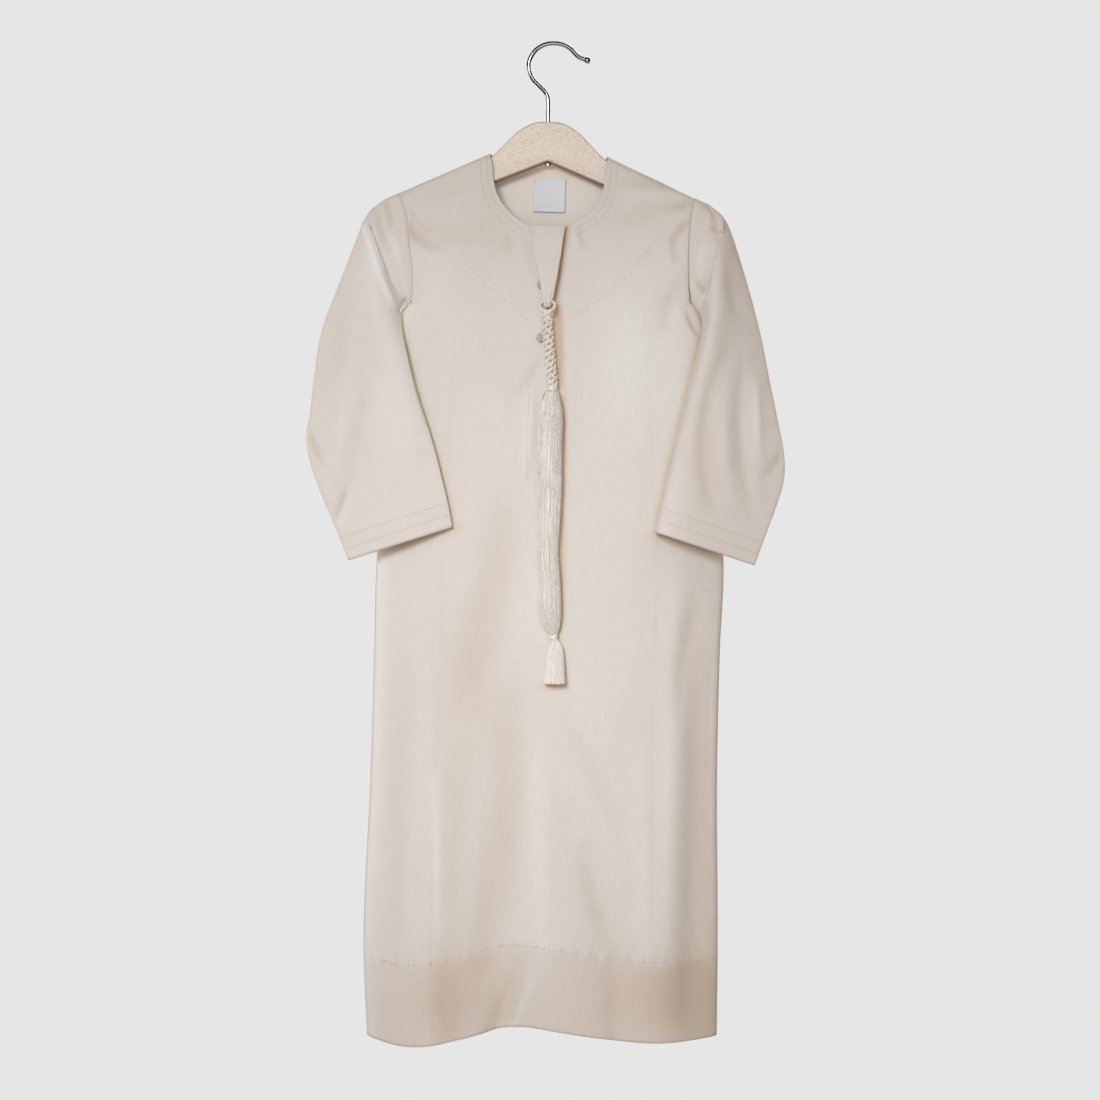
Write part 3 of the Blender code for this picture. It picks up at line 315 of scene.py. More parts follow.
def crease_height(x, z, creases):
    total = np.zeros_like(x)
    t = np.linspace(0.0, 1.0, CREASE_STEPS + 1)
    for row in named_rows(CREASE_COLUMNS, creases):
        run_x = row["x2"] - row["x1"]
        run_z = row["z2"] - row["z1"]
        length = math.hypot(run_x, run_z)
        bow = row["bow"] * 4.0 * t * (1.0 - t)
        line_x = row["x1"] + run_x * t - run_z / length * bow
        line_z = row["z1"] + run_z * t + run_x / length * bow
        reach = CREASE_REACH * row["width"]
        near = ((x > line_x.min() - reach) & (x < line_x.max() + reach)
                & (z > line_z.min() - reach) & (z < line_z.max() + reach))
        away, along = near_line(x[near], z[near], list(zip(line_x, line_z)))
        height = (row["h1"] * (1 - along) * (1 - 2 * along) + row["h2"] * 4 * along * (1 - along)
                  + row["h3"] * along * (2 * along - 1))
        total[near] += height * bell(away, row["width"], row["profile"])
    return total


NARROW_CREASE = 5.5
CREASE_SHADE_PER_MM = 0.32
HOLLOW_SHADE_PER_MM = 0.13    # painted shade for each mm of hollow, and painted light for each mm of ridge
# painted shade on the doubled hem band, where less light comes through the two layers
HEM_PAINTED_SHADE = 0.42


def painted_crease_shade(x, z, creases):
    """Painted shade in narrow creases, and painted highlight on narrow ridges."""
    narrow = [c for c in creases if c[CREASE_COLUMNS.index("width")] < NARROW_CREASE]
    return CREASE_SHADE_PER_MM * np.clip(-crease_height(x, z, narrow), -2.5, 3.0)


def painted_hollow_shade(height):
    """Painted shade in a hollow, where light is lost between its two sides, and painted light on a
    ridge.
    """
    return np.clip(-HOLLOW_SHADE_PER_MM * height, -0.35, 0.8)


# Broad soft patches of painted shade (above 0), as where the cloth sags back, and of painted light,
# as where it stands out. Lengths are in millimetres.
SHADE_COLUMNS = ("x", "z", "reach_across", "reach_down", "amount")
FRONT_PAINTED_SHADES = (
    (-87, -572, 46, 105, 0.35),
    (-84, -824, 40, 34, 0.5),
    (88, -828, 46, 36, 0.75),
    (-66, -575, 24, 70, 0.2),
    (-92, -838, 24, 30, 0.35),
    (118, -838, 26, 34, 0.6),
    (66, -262, 36, 90, -0.8),
    (104, -262, 14, 85, -0.45),
    (-112, -215, 26, 60, -0.35),
)
LEFT_SLEEVE_PAINTED_SHADES = ((-150, -208, 22, 46, -0.75),)
RIGHT_SLEEVE_PAINTED_SHADES = (
    (162, -280, 14, 80, -0.55),
    (128, -366, 22, 50, 0.45),
)


# painted shade and painted light of the broad patches
def painted_broad_shade(x, z, painted_shades):
    total = np.zeros(x.shape)
    for row in named_rows(SHADE_COLUMNS, painted_shades):
        across = (x - row["x"]) / row["reach_across"]
        down = (z - row["z"]) / row["reach_down"]
        total += row["amount"] * np.exp(-across * across - down * down)
    return total


# %% Creases of the front and the back
FRONT_CREASES = (
    # from the left armhole in across the chest
    (-127, -164.5, -96, -184, -2, 5, -2.2, -1.8, 0, 1.6),
    (-124, -172, -92, -192, -2, 6, 1.2, 1, 0, 2),
    (-128, -152, -54, -158, -15, 10, -0.6, -2.2, 0, 2),
    (-62, -150, -40, -186, 3, 8, 0, -1, 0, 2),
    (-118, -132, -68, -118, -3, 6, 0, -1, 0, 2),
    # beside the neck tab
    (-44, -166, -38, -186, 0, 4, 0, -0.8, 0, 2),
    (-30, -166, -18, -206, 2, 3.6, 0.5, -0.8, 0, 2),
    (16.5, -165, 24, -181, -1, 3.4, 0.7, 0.8, 0, 2),
    (22, -166, 29, -184, -1, 3.4, -0.9, -0.8, 0, 2),
    # from the right armhole and shoulder in across the chest
    (119, -140.5, 92, -146.5, 0.6, 3.4, -2.2, -1.9, 0, 1.4),
    (92, -146.5, 48, -158, 2, 8, -1.6, -2, 0, 2),
    (112, -128, 58, -124, -3, 5, 0, -1.2, 0, 2),
    (100, -133, 56, -136, -2, 5, 0, 0.9, 0, 2),
    (118, -156, 104.5, -174, -1.5, 3.6, -2.2, -2.2, -0.7, 1.5),
    (104.5, -174, 111, -196, -2, 4, -1.2, -1.2, 0, 1.8),
    (110, -213, 100, -262, -5, 7, -0.8, -1.8, 0, 2),
    (116.5, -236, 128, -256, -1.5, 2.6, -1, -2.4, -0.8, 1.5),
    (-120, -228, -104, -286, 4, 9, -0.6, -1.1, 0, 2),
    # the pressed line beside the slit, and the pull of the tassel
    (-17, -292, -22, -384, 3, 2.2, 0, -1.2, -0.3, 1.3),
    (-22, -292, -27.5, -388, 3, 5, 0, 0.8, 0, 2),
    (-13, -278, -44, -318, 6, 6, -1.2, -2.2, 0, 1.9),
    (13.4, -246, 13.6, -384, 0, 1.8, 0, 0.42, 0, 1.5),
    # shallow valleys right of the tab, the rope and the tassel, painted dark as their painted
    # shadow, and a broad ridge under the tassel
    (11.5, -150, 0.5, -228, 0, 2.6, -3.6, -4.2, -3, 1.6),
    (3.4, -232, 6, -300, 0, 2.6, -3, -2.6, -1.6, 1.6),
    (9, -312, 6.5, -500, 0, 2, -1, -1.6, -1, 1.6),
    (-3, -360, -5, -540, 0, 13, 0, 1.6, 0, 2),
    # soft diagonal valleys of the skirt
    (-36, -370, -86, -600, 8, 17, 0, -4.2, 0, 2),
    (-34, -540, -60, -800, 5, 15, 0, -4.6, -2.8, 2),
    (-80, -600, -90, -800, 0, 14, 0, -2.4, -1.6, 2),
    (-104, -620, -101, -780, 0, 4, 0, 1.3, 0.3, 2),
    (-138, -480, -142, -800, 2, 12, 0, -2.6, -1.6, 2),
    (-14, -600, -8, -800, 0, 12, 0, 2.2, 1.2, 2),
    (6, -586, 62, -700, 4, 8, 0, -2.2, 0, 2),
    (26, -692, 54, -790, -5, 9, 0, -2.4, -1.4, 2),
    (76, -600, 80, -800, 0, 9, 0, 1.6, 1, 2),
    (106, -440, 95, -800, 2, 12, 0, 2.2, 1.2, 2),
    (128, -450, 120, -840, 2, 14, -0.8, -3.6, -3, 2),
    (126, -480, 106, -600, -3, 9, 0, -2, 0, 2),
    # folds of the hem
    (-14, -804, -38, -868, 0, 7, 0.2, 3.4, 3.6, 1.8),
    (-31, -800, -54, -868, 0, 8, -0.6, -3.4, -3.6, 2),
    (-94, -796, -92, -872, 0, 10, -0.6, -2.8, -3.2, 2),
    (52, -796, 50, -872, 0, 9, -0.6, -1.4, -1, 2),
)
BACK_CREASES = (
    (-126, -160, -84, -186, -4, 5, -2.25, -1.65, 0, 1.6),
    (116, -158, 80, -180, 4, 5, -2.25, -1.65, 0, 1.6),
    (-60, -126, -20, -150, -5, 10, 0, -1.35, 0, 2),
    (60, -128, 14, -154, 5, 10, 0, -1.2, 0, 2),
    (-112, -232, -92, -330, 6, 9, -0.9, -2.4, 0, 2),
    (106, -236, 90, -318, -6, 9, -0.9, -2.25, 0, 2),
    (-10, -260, -38, -420, 8, 14, 0, -2.7, 0, 2),
    (44, -330, 66, -520, -7, 13, 0, -3, 0, 2),
    (-80, -470, -60, -650, 6, 14, 0, -3.3, 0, 2),
    (20, -560, 40, -720, 5, 12, 0, -2.4, 0, 2),
    (100, -480, 104, -760, -4, 11, 0, 2.7, 0.9, 1.8),
    (-110, -560, -116, -790, 4, 12, 0, 2.4, 0.9, 2),
    (-42, -796, -44, -868, 0, 6, -0.45, -2.4, -3.3, 1.5),
    (72, -798, 76, -870, 0, 7, -0.45, -2.1, -2.85, 1.6),
)
print("creases:", len(FRONT_CREASES), "in front,", len(BACK_CREASES), "behind")

# %% [markdown]
# ## From a grid of points to cloth
# Each panel is a grid: rows run down the robe and columns run across. The helper below joins
# neighbouring points with quads and stores flat cloth lengths as a UV map, so that the weave later
# runs along the real threads. A Solidify modifier turns the sheet into a thin shell, and a vertex
# group thickens it at the turned edges.

# %% Turn a grid of points into a cloth shell
CLOTH = 0.5          # the fine cloth's own thickness
TURNED_EDGE = 1.0    # doubled cloth at a turned edge


def grid_normals(grid, closed):
    """Unit normals of a grid of points; the columns of a closed grid meet round a tube."""
    down = np.gradient(grid, axis=0)
    if closed:
        across = (np.roll(grid, -1, axis=1) - np.roll(grid, 1, axis=1)) / 2.0
    else:
        across = np.gradient(grid, axis=1)
    normal = np.cross(down, across)
    size = np.linalg.norm(normal, axis=2, keepdims=True)
    return normal / np.maximum(size, 1e-9)


# %% Lay the weave out flat and join the points
def flat_lengths(grid):
    """How far each point lies across and down the flat cloth."""
    across = np.linalg.norm(np.diff(grid, axis=1), axis=2)
    down = np.linalg.norm(np.diff(grid, axis=0), axis=2)
    u = np.concatenate([np.zeros((grid.shape[0], 1)), np.cumsum(across, axis=1)], axis=1)
    v = np.concatenate([np.zeros((1, grid.shape[1])), np.cumsum(down, axis=0)], axis=0)
    u -= u[:, u.shape[1] // 2:u.shape[1] // 2 + 1]
    return u, v


def grid_quads(grid, closed=False, hidden=None):
    """Rows and columns of every quad's corners, and the numbers of the points there."""
    rows, columns = grid.shape[:2]
    r, c = np.mgrid[:rows - 1, :columns if closed else columns - 1]
    shown = np.ones(r.shape, bool) if hidden is None else ~hidden
    r = np.stack([r[shown], r[shown] + 1, r[shown] + 1, r[shown]], axis=1)
    c = np.stack([c[shown], c[shown], c[shown] + 1, c[shown] + 1], axis=1)
    return r, c, (r * columns + c % columns).tolist()


def store(mesh, name, values):
    """Keeps a number at each point of a mesh, for its material to read."""
    kept = mesh.attributes.new(name, "FLOAT", "POINT")
    kept.data.foreach_set("value", np.asarray(values, np.float32).ravel())


def cloth_mesh(name, grid, closed=False, hidden=None, tone=None):
    u, v = flat_lengths(np.concatenate([grid, grid[:, :1]], axis=1) if closed else grid)
    r, c, quads = grid_quads(grid, closed, hidden)
    mesh = bpy.data.meshes.new(name)
    mesh.from_pydata((grid.reshape(-1, 3) * MM).tolist(), [], quads)
    uv = np.stack([u[r, c].ravel(), v[r, c].ravel()], axis=1) * MM
    mesh.uv_layers.new(name="weave").uv.foreach_set("vector", uv.astype(np.float32).ravel())
    if tone is not None:
        store(mesh, "tone", tone)
    mesh.shade_smooth()
    return mesh


# %% Put a mesh in the scene as a piece of the robe
def add_piece(name, mesh, material):
    mesh.materials.clear()
    mesh.materials.append(material)
    piece = put_in_scene(name, mesh)
    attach(piece, "root")
    return piece


def add_shell(piece, thin, thick, thick_points):
    """Thickens a sheet inwards from its outer face, more at the named points."""
    group = piece.vertex_groups.new(name="turned_edge")
    group.add(list(range(len(piece.data.vertices))), thin / thick, "REPLACE")
    group.add([int(i) for i in thick_points], 1.0, "REPLACE")
    shell = piece.modifiers.new("cloth_thickness", "SOLIDIFY")
    shell.thickness = thick * MM
    shell.offset = -1.0
    shell.vertex_group = group.name
    shell.use_rim = True


# %% [markdown]
# ## Cotton
# The robe's cotton is a fine plain weave with a soft glow and faint slubs, which are short thicker
# lengths in the yarn. The weave is two sine waves at right angles that follow the UV map. The slubs
# are noise stretched far along one thread direction. Both move the bump, with a coarser noise for
# faint rumples. The slubs also tint the cloth, and so does broad, very weak noise, which keeps a
# large panel from looking painted.

# %% Helpers for node materials
def new_material(name, colour, roughness, **sockets):
    material = bpy.data.materials.new(name)
    material.use_nodes = True
    shader = material.node_tree.nodes["Principled BSDF"]
    shader.inputs["Base Color"].default_value = (*colour, 1.0)
    shader.inputs["Roughness"].default_value = roughness
    for socket, value in sockets.items():
        shader.inputs[socket.replace("_", " ")].default_value = value
    return material, material.node_tree, shader


def node(tree, kind, **settings):
    made = tree.nodes.new(kind)
    for key, value in settings.items():
        setattr(made, key, value)
    return made


def wire(tree, source, target):
    tree.links.new(source, target)


def maths(tree, operation, a, b=0.0, c=0.0):
    made = node(tree, "ShaderNodeMath", operation=operation)
    for socket, value in zip(made.inputs, (a, b, c)):
        if isinstance(value, (int, float)):
            socket.default_value = value
        else:
            wire(tree, value, socket)
    return made.outputs[0]


# %% Short words for what the materials do most
def scaled(tree, value, by, plus=0.0):
    return maths(tree, "MULTIPLY_ADD", value, by, plus)


def limited(tree, value, most):
    """Keeps a grey value between 0 and a given number."""
    return maths(tree, "MINIMUM", maths(tree, "MAXIMUM", value, 0.0), most)


def stored(tree, name, kind="Fac"):
    """What the mesh keeps at its points under this name."""
    return node(tree, "ShaderNodeAttribute", attribute_name=name).outputs[kind]


def axes_of(tree, vector):
    parts = node(tree, "ShaderNodeSeparateXYZ")
    wire(tree, vector, parts.inputs[0])
    return parts.outputs


def stretched_noise(tree, vector, scale, detail):
    """Noise whose spots are drawn out along the axes with small numbers."""
    mapping = node(tree, "ShaderNodeMapping")
    mapping.inputs["Scale"].default_value = scale
    wire(tree, vector, mapping.inputs["Vector"])
    noise = node(tree, "ShaderNodeTexNoise")
    noise.inputs["Scale"].default_value = 1.0
    noise.inputs["Detail"].default_value = detail
    wire(tree, mapping.outputs["Vector"], noise.inputs["Vector"])
    return noise.outputs["Fac"]


def mixed(tree, a, b, amount, way="MIX"):
    """A colour from a to b by a grey value; each is a tint or another node's colour."""
    blend = node(tree, "ShaderNodeMix", data_type="RGBA", blend_type=way)
    for name, colour in (("A", a), ("B", b)):
        if isinstance(colour, tuple):
            blend.inputs[name].default_value = (*colour, 1.0)
        else:
            wire(tree, colour, blend.inputs[name])
    wire(tree, amount, blend.inputs["Factor"])
    return blend.outputs["Result"]


def raised(tree, shader, height, distance):
    bump = node(tree, "ShaderNodeBump")
    bump.inputs["Distance"].default_value = distance
    wire(tree, height, bump.inputs["Height"])
    wire(tree, bump.outputs["Normal"], shader.inputs["Normal"])


# %% Cotton material
WEAVE_PITCH = 0.00055       # one warp and weft crossing to the next, in metres
FACING_BOTTOM_Z = -176.0    # the neck's facing, a doubled band inside the back that is painted lighter, as painted light
COTTON_LIGHT = (0.848, 0.849, 0.852)
# the dark end of the tint, which the slubs, the broad noise and the painted shade all pull towards
COTTON_DARK = (0.61, 0.513, 0.432)
FACING_PAINTED_LIGHT = (0.95, 0.875, 0.80)
# the hue of the painted warm light between close layers
GLOW_HUE = (1.0, 0.90, 0.77)


def make_cotton(name, light, dark):
    material, tree, shader = new_material(name, light, 0.78, Sheen_Weight=0.18,
                                          Sheen_Roughness=0.45, Specular_IOR_Level=0.28)
    threads = node(tree, "ShaderNodeUVMap", uv_map="weave").outputs["UV"]
    lengths = axes_of(tree, threads)
    turn = math.tau / WEAVE_PITCH
    warp = maths(tree, "SINE", maths(tree, "MULTIPLY", lengths["X"], turn))
    weft = maths(tree, "SINE", maths(tree, "MULTIPLY", lengths["Y"], turn))
    weave = maths(tree, "MULTIPLY", warp, weft)
    slubs = maths(tree, "ADD", stretched_noise(tree, threads, (70.0, 1500.0, 1.0), 2.0),
                  stretched_noise(tree, threads, (1400.0, 60.0, 1.0), 2.0))
    broad = stretched_noise(tree, threads, (14.0, 9.0, 1.0), 3.0)
    rumple = stretched_noise(tree, threads, (55.0, 38.0, 1.0), 2.0)
    tint = scaled(tree, broad, 0.45, -0.745)
    tint = scaled(tree, slubs, 0.8, tint)
    # the tone kept at each point is painted shade in hollows, creases and doubled bands, and
    # painted light on ridges and pale patches
    tint = maths(tree, "ADD", tint, stored(tree, "tone"))
    outside = mixed(tree, light, dark, scaled(tree, tint, 0.385, 0.385))
    # painted light: the neck's doubled facing is painted lighter, only on the side that looks to
    # the front
    normal = node(tree, "ShaderNodeNewGeometry").outputs["Normal"]
    inside = limited(tree, maths(tree, "MULTIPLY", axes_of(tree, normal)["Y"], -4.0), 1.0)
    band = maths(tree, "MULTIPLY", inside, stored(tree, "facing"))
    doubled = mixed(tree, outside, FACING_PAINTED_LIGHT, band)
    # painted warm light: cloth near another layer is painted warmer, as light coming back from it
    warmed = mixed(tree, doubled, GLOW_HUE, stored(tree, "painted_warm_light"), "MULTIPLY")
    wire(tree, warmed, shader.inputs["Base Color"])
    height = scaled(tree, weave, 0.05, maths(tree, "MULTIPLY", slubs, 0.35))
    height = scaled(tree, rumple, 1.6, height)
    raised(tree, shader, height, 0.00035)
    return material


cotton = make_cotton("cream_cotton", COTTON_LIGHT, COTTON_DARK)
print("cotton nodes:", len(cotton.node_tree.nodes))

# %% [markdown]
# ## The front and back panels
# A panel's columns start along its upper edge: down one shoulder, round the neckline and up the
# other shoulder. They are closer together towards the armholes, where the cloth turns sharply.
# The rows are closer together at the top for the same reason.

# %% Upper edge of a panel
SHOULDER_COLUMNS = 36
EDGE_CROWDING = 1.6


def lengths_along(line):
    """How far each point of a line lies from its first one, measured along the line."""
    return np.concatenate([[0.0], np.cumsum(np.linalg.norm(np.diff(line, axis=0), axis=1))])


def walk_along(points, step):
    """Points at even steps along a smooth line through a few given ones."""
    line = np.array(points, float)
    keys = lengths_along(line)
    table = [(k, *p) for k, p in zip(keys, line)]
    names = ("key",) + tuple("abc"[:line.shape[1]])
    places = np.linspace(0.0, keys[-1], max(2, int(round(keys[-1] / step)) + 1))
    return np.stack([smooth_curve(names, table, n)(places) for n in names[1:]], axis=1)


def top_edge(neckline, step):
    left_top = float(armhole_left(ARMHOLE_TOP_LEFT))
    right_top = float(armhole_right(ARMHOLE_TOP_RIGHT))
    shares = (np.arange(SHOULDER_COLUMNS) / SHOULDER_COLUMNS) ** EDGE_CROWDING
    left_x = mix(left_top, neckline[0][0], shares)
    right_x = mix(right_top, neckline[-1][0], shares)[::-1]
    neck = walk_along(neckline, step)
    neck[0, 1] = shoulder_line(neck[0, 0])
    neck[-1, 1] = shoulder_line(neck[-1, 0])
    left = np.stack([left_x, shoulder_line(left_x)], axis=1)
    right = np.stack([right_x, shoulder_line(right_x)], axis=1)
    return np.concatenate([left, neck, right])


print("points along the front's upper edge:", len(top_edge(FRONT_NECKLINE, 2.4)))

# %% Rows of a panel
UPPER_ROWS = 46
LOWER_ROWS = 176
HEM_ROWS = 24
ROW_CROWDING = 1.45    # the upper rows lie closer together near the shoulders


def panel_grid(neckline, hem, step):
    """x and z of every point of a panel, with its rows running down the robe."""
    edge = top_edge(neckline, step)
    share = (edge[:, 0] - edge[0, 0]) / (edge[-1, 0] - edge[0, 0])
    left_under, right_under = body_edges(np.array(UNDERARM_Z))
    even = np.linspace(0.0, 1.0, len(share))
    spread = mix(even, 0.5 - 0.5 * np.cos(math.pi * even), 0.5)
    xs = []
    zs = []
    for v in (np.arange(UPPER_ROWS) / UPPER_ROWS) ** ROW_CROWDING:
        z = mix(edge[:, 1], UNDERARM_Z, v)
        left, right = body_edges(z)
        x = mix(edge[:, 0], mix(left_under, right_under, spread), v)
        across = 2.0 * mix(share, spread, v) - 1.0
        x = mix(x, mix(left, right, mix(share, spread, v)), np.abs(across) ** 6)
        xs.append(x)
        zs.append(z)
    share = spread
    across = 2.0 * share - 1.0
    fold_line = hem(across) + HEM_DEPTH
    lower = [mix(UNDERARM_Z, fold_line, v) for v in np.linspace(0.0, 1.0, LOWER_ROWS)]
    band = [fold_line - HEM_DEPTH * v for v in np.linspace(0.0, 1.0, HEM_ROWS + 1)[1:]]
    for z in lower + band:
        left, right = body_edges(z)
        xs.append(mix(left, right, share))
        zs.append(z)
    return np.array(xs), np.array(zs)


print("rows of a panel:", UPPER_ROWS + LOWER_ROWS + HEM_ROWS)

# %% [markdown]
# A stitched hem puckers: the thread draws the cloth in a little at each stitch. A short wave along
# the stitch row, fading a few millimetres away from it, gives that look.

# %% Pucker along the hem's stitch row
PUCKER_HEIGHT = 0.5
PUCKER_REACH = 5.5    # how far above and below the stitches the ridges fade
SEWN_DEPTH = 0.6      # how deep the stitches draw the cloth in
SEWN_REACH = 1.4
HEM_STEP = 0.35    # how far the doubled hem stands out below them


def hem_pucker(x, z, hem, left, right):
    row = hem(2.0 * (x - left) / (right - left) - 1.0) + HEM_DEPTH
    wave = np.sin(x / 2.1 + 1.7 * np.sin(x / 13.0)) * (0.6 + 0.4 * np.sin(x / 31.0))
    doubled = HEM_STEP / (1.0 + np.exp(np.clip((z - row) / 0.5, -40.0, 40.0)))
    return (PUCKER_HEIGHT * wave * bell(z - row, PUCKER_REACH)
            - SEWN_DEPTH * bell(z - row, SEWN_REACH) + doubled)


# %% Line two columns up with the slit
SLIT_X = -6.0
SLIT_WIDTH = 0.8
SLIT_BOTTOM_Z = -268.0
STRAIGHT_TO_Z = -330.0    # the columns keep in line with the slit down to here
STRAIGHT_FADE = 50.0
SLIT_PULL = 14.0    # how far to its sides other columns follow


def slit_column(x):
    return int(np.argmin(np.abs((x[0, :-1] + x[0, 1:]) / 2.0 - SLIT_X)))


def line_up_with_slit(x, z):
    """Moves two neighbouring columns to the slit's edges, and the others a little with them."""
    column = slit_column(x)
    middle = (x[:, column:column + 1] + x[:, column + 1:column + 2]) / 2.0
    fade = as_share((z - STRAIGHT_TO_Z) / STRAIGHT_FADE)
    x = x + bell(x - SLIT_X, SLIT_PULL) * fade * (SLIT_X - middle)
    for offset, edge in ((0, SLIT_X - SLIT_WIDTH / 2.0), (1, SLIT_X + SLIT_WIDTH / 2.0)):
        x[:, column + offset] = mix(x[:, column + offset], edge, fade[:, column + offset])
    return x


# %% Shape a panel
EASING_ROUNDS = 40    # smoothing that takes the kink out of the cloth below the underarm
EASING_REACH = 16.0
FLAT_EDGE = 6.0    # creases fade out this close to the side seams
SEAM_GAP = 0.12    # half the space between two layers where they are sewn together
CHEST_ROW = 100


def shape_panel(neckline, hem, folds, flatness, creases, facing, step):
    x, z = panel_grid(neckline, hem, step)
    if facing < 0:
        x = line_up_with_slit(x, z)
    depth = body_depth(x, z, folds, flatness)
    easing = 0.5 * bell(z[1:-1] - UNDERARM_Z, EASING_REACH)
    for _ in range(EASING_ROUNDS):
        depth[1:-1] = mix(depth[1:-1], (depth[:-2] + depth[2:]) / 2.0, easing)
    inner = np.stack([x, facing * depth, z], axis=2)
    normal = grid_normals(inner, closed=False)
    if normal[CHEST_ROW, x.shape[1] // 2, 1] * facing < 0:
        normal = -normal
    left, right = body_edges(z)
    height = crease_height(x, z, creases) + hem_pucker(x, z, hem, left, right)
    near_side = as_share(np.minimum(x - left, right - x) / FLAT_EDGE)
    outer = inner + normal * (WALL + height * near_side)[..., None]
    sewn = z[:, 0] <= UNDERARM_Z
    outer[sewn, 0, 0] = side_left(z[sewn, 0])
    outer[sewn, -1, 0] = side_right(z[sewn, -1])
    for column in (0, -1):
        outer[sewn, column, 1] = facing * SEAM_GAP
    on_shoulder = (x[0] <= neckline[0][0] + 0.01) | (x[0] >= neckline[-1][0] - 0.01)
    outer[0, on_shoulder, 1] = facing * SEAM_GAP
    outer[0, on_shoulder, 2] = shoulder_line(x[0, on_shoulder]) + WALL
    # the tone is painted shade in hollows, narrow creases and the doubled hem band, and painted
    # light on ridges
    tone = painted_hollow_shade(height) + painted_crease_shade(x, z, creases)
    tone[-HEM_ROWS:] += HEM_PAINTED_SHADE
    return outer, tone


front_grid, front_painted_shade = shape_panel(FRONT_NECKLINE, front_hem, FRONT_FOLDS, 1.0,
                                     FRONT_CREASES, -1, 2.4)
back_grid, back_painted_shade = shape_panel(BACK_NECKLINE, back_hem, BACK_FOLDS, BACK_TO_FRONT,
                                   BACK_CREASES, 1, 2.8)
print("front grid:", front_grid.shape, "back grid:", back_grid.shape)

# %% Paint more shade and light into the panels' tone
BACK_SHADE_SHARE = 0.6    # the back's hollows are shallower, and get less painted shade
LEFT_EDGE_PAINTED_LIGHT = 0.8         # painted light: the front is painted paler where it turns round to the left side seam
LEFT_EDGE_LIGHT_WIDTH = 9.0

back_painted_shade *= BACK_SHADE_SHARE
from_side = front_grid[..., 0] - front_grid[:, :1, 0]
below_arm = front_grid[..., 2] < UNDERARM_Z
front_painted_shade += painted_broad_shade(front_grid[..., 0], front_grid[..., 2], FRONT_PAINTED_SHADES)
front_painted_shade -= LEFT_EDGE_PAINTED_LIGHT * bell(from_side, LEFT_EDGE_LIGHT_WIDTH) * below_arm
print("deepest tone of the front:", round(float(front_painted_shade.max()), 2))

# %% Build the front and the back
def slit_faces(grid):
    """Which faces of the front fall in the slit."""
    hidden = np.zeros((grid.shape[0] - 1, grid.shape[1] - 1), bool)
    column = slit_column(grid[..., 0])
    hidden[:, column] = grid[1:, column, 2] > SLIT_BOTTOM_Z
    return hidden


def turned_points(grid):
    """The neckline's and the hem's points, where the cloth is doubled."""
    rows, columns = grid.shape[:2]
    numbers = np.arange(rows * columns).reshape(rows, columns)
    return np.concatenate([numbers[:10].ravel(), numbers[-HEM_ROWS:].ravel()])


front_mesh = cloth_mesh("front_panel_cloth", front_grid, hidden=slit_faces(front_grid),
                        tone=front_painted_shade)
front_panel = add_piece("front_panel_cloth", front_mesh, cotton)
back_mesh = cloth_mesh("back_panel_cloth", back_grid, tone=back_painted_shade)
back_mesh.flip_normals()
# the facing's band, where painted light lifts the shaded inside of the back
facing_painted_light_band = as_share((back_grid[..., 2] - FACING_BOTTOM_Z) / 20.0)
store(back_mesh, "facing", facing_painted_light_band)
back_panel = add_piece("back_panel_cloth", back_mesh, cotton)
add_shell(front_panel, CLOTH, TURNED_EDGE, turned_points(front_grid))
add_shell(back_panel, CLOTH, TURNED_EDGE, turned_points(back_grid))
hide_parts("body_front")
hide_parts("body_back")
print("front faces:", len(front_mesh.polygons), "back faces:", len(back_mesh.polygons))

# %% [markdown]
# ## The sleeves
# Each sleeve is a tube set into the armhole. It hangs almost flat: the shoulder end is folded over
# and the cuff end swings forward in front of the body. A row gives one section of the tube: where
# its outer and inner ends are, how far forward they lie, how much its two layers swell, and how
# far the front layer is pushed under the big fold below the shoulder. The last four of these are
# the same on both sides, so they are written once.

# %% Sections of the sleeves
SLEEVE_COLUMNS = (
    "outer_x", "outer_z", "inner_x", "inner_z", "inner_forward",
    "outer_forward", "front", "back", "tuck",
)
LEFT_SLEEVE = (
    (-148.6, -135, -129.4, -229, 0),
    (-158.6, -142.2, -131.2, -232.2, 1),
    (-161, -144.6, -132.8, -234, 1.6),
    (-163.2, -147.2, -134, -235.8, 2.2),
    (-165.2, -150.4, -135, -238, 2.8),
    (-167.2, -154.2, -135.8, -240.6, 3.6),
    (-172.1, -166.6, -136.4, -246.4, 7.5),
    (-186.2, -202.8, -134.6, -258, 14),
    (-204, -250, -127.6, -280, 20),
    (-210.4, -288, -119, -309, 24),
    (-214.6, -324, -109.6, -338, 28),
    (-217.6, -346, -105.4, -352, 30),
    (-213.6, -369, -101.4, -366.5, 31),
    (-204.2, -395, -97.2, -383.5, 32),
    (-189.1, -430.7, -93, -400.6, 33),
    (-180.2, -453, -88.4, -424, 34),
)
RIGHT_SLEEVE = (
    (134.6, -139.4, 122.2, -229, 0),
    (143.2, -146, 124, -232.2, 1),
    (145.4, -148.2, 125.6, -234.2, 1.6),
    (147.6, -150.6, 127, -236.4, 2.2),
    (149.6, -153.4, 128.6, -239, 3),
    (151.8, -157.4, 129.8, -242.2, 4.2),
    (157.6, -173, 130, -249.6, 7.5),
    (169.4, -211, 127.2, -264, 14),
    (180.4, -253, 121, -287, 20),
    (188.6, -295, 113.8, -314, 24),
    (195.6, -330, 106.4, -344, 28),
    (201.2, -361, 102.2, -362, 30),
    (200.6, -384, 98.8, -376, 31),
    (193.6, -407, 95.6, -389.5, 32),
    (183.2, -434.9, 92.1, -405.2, 33),
    (174.8, -457.4, 86.8, -428.6, 34),
)
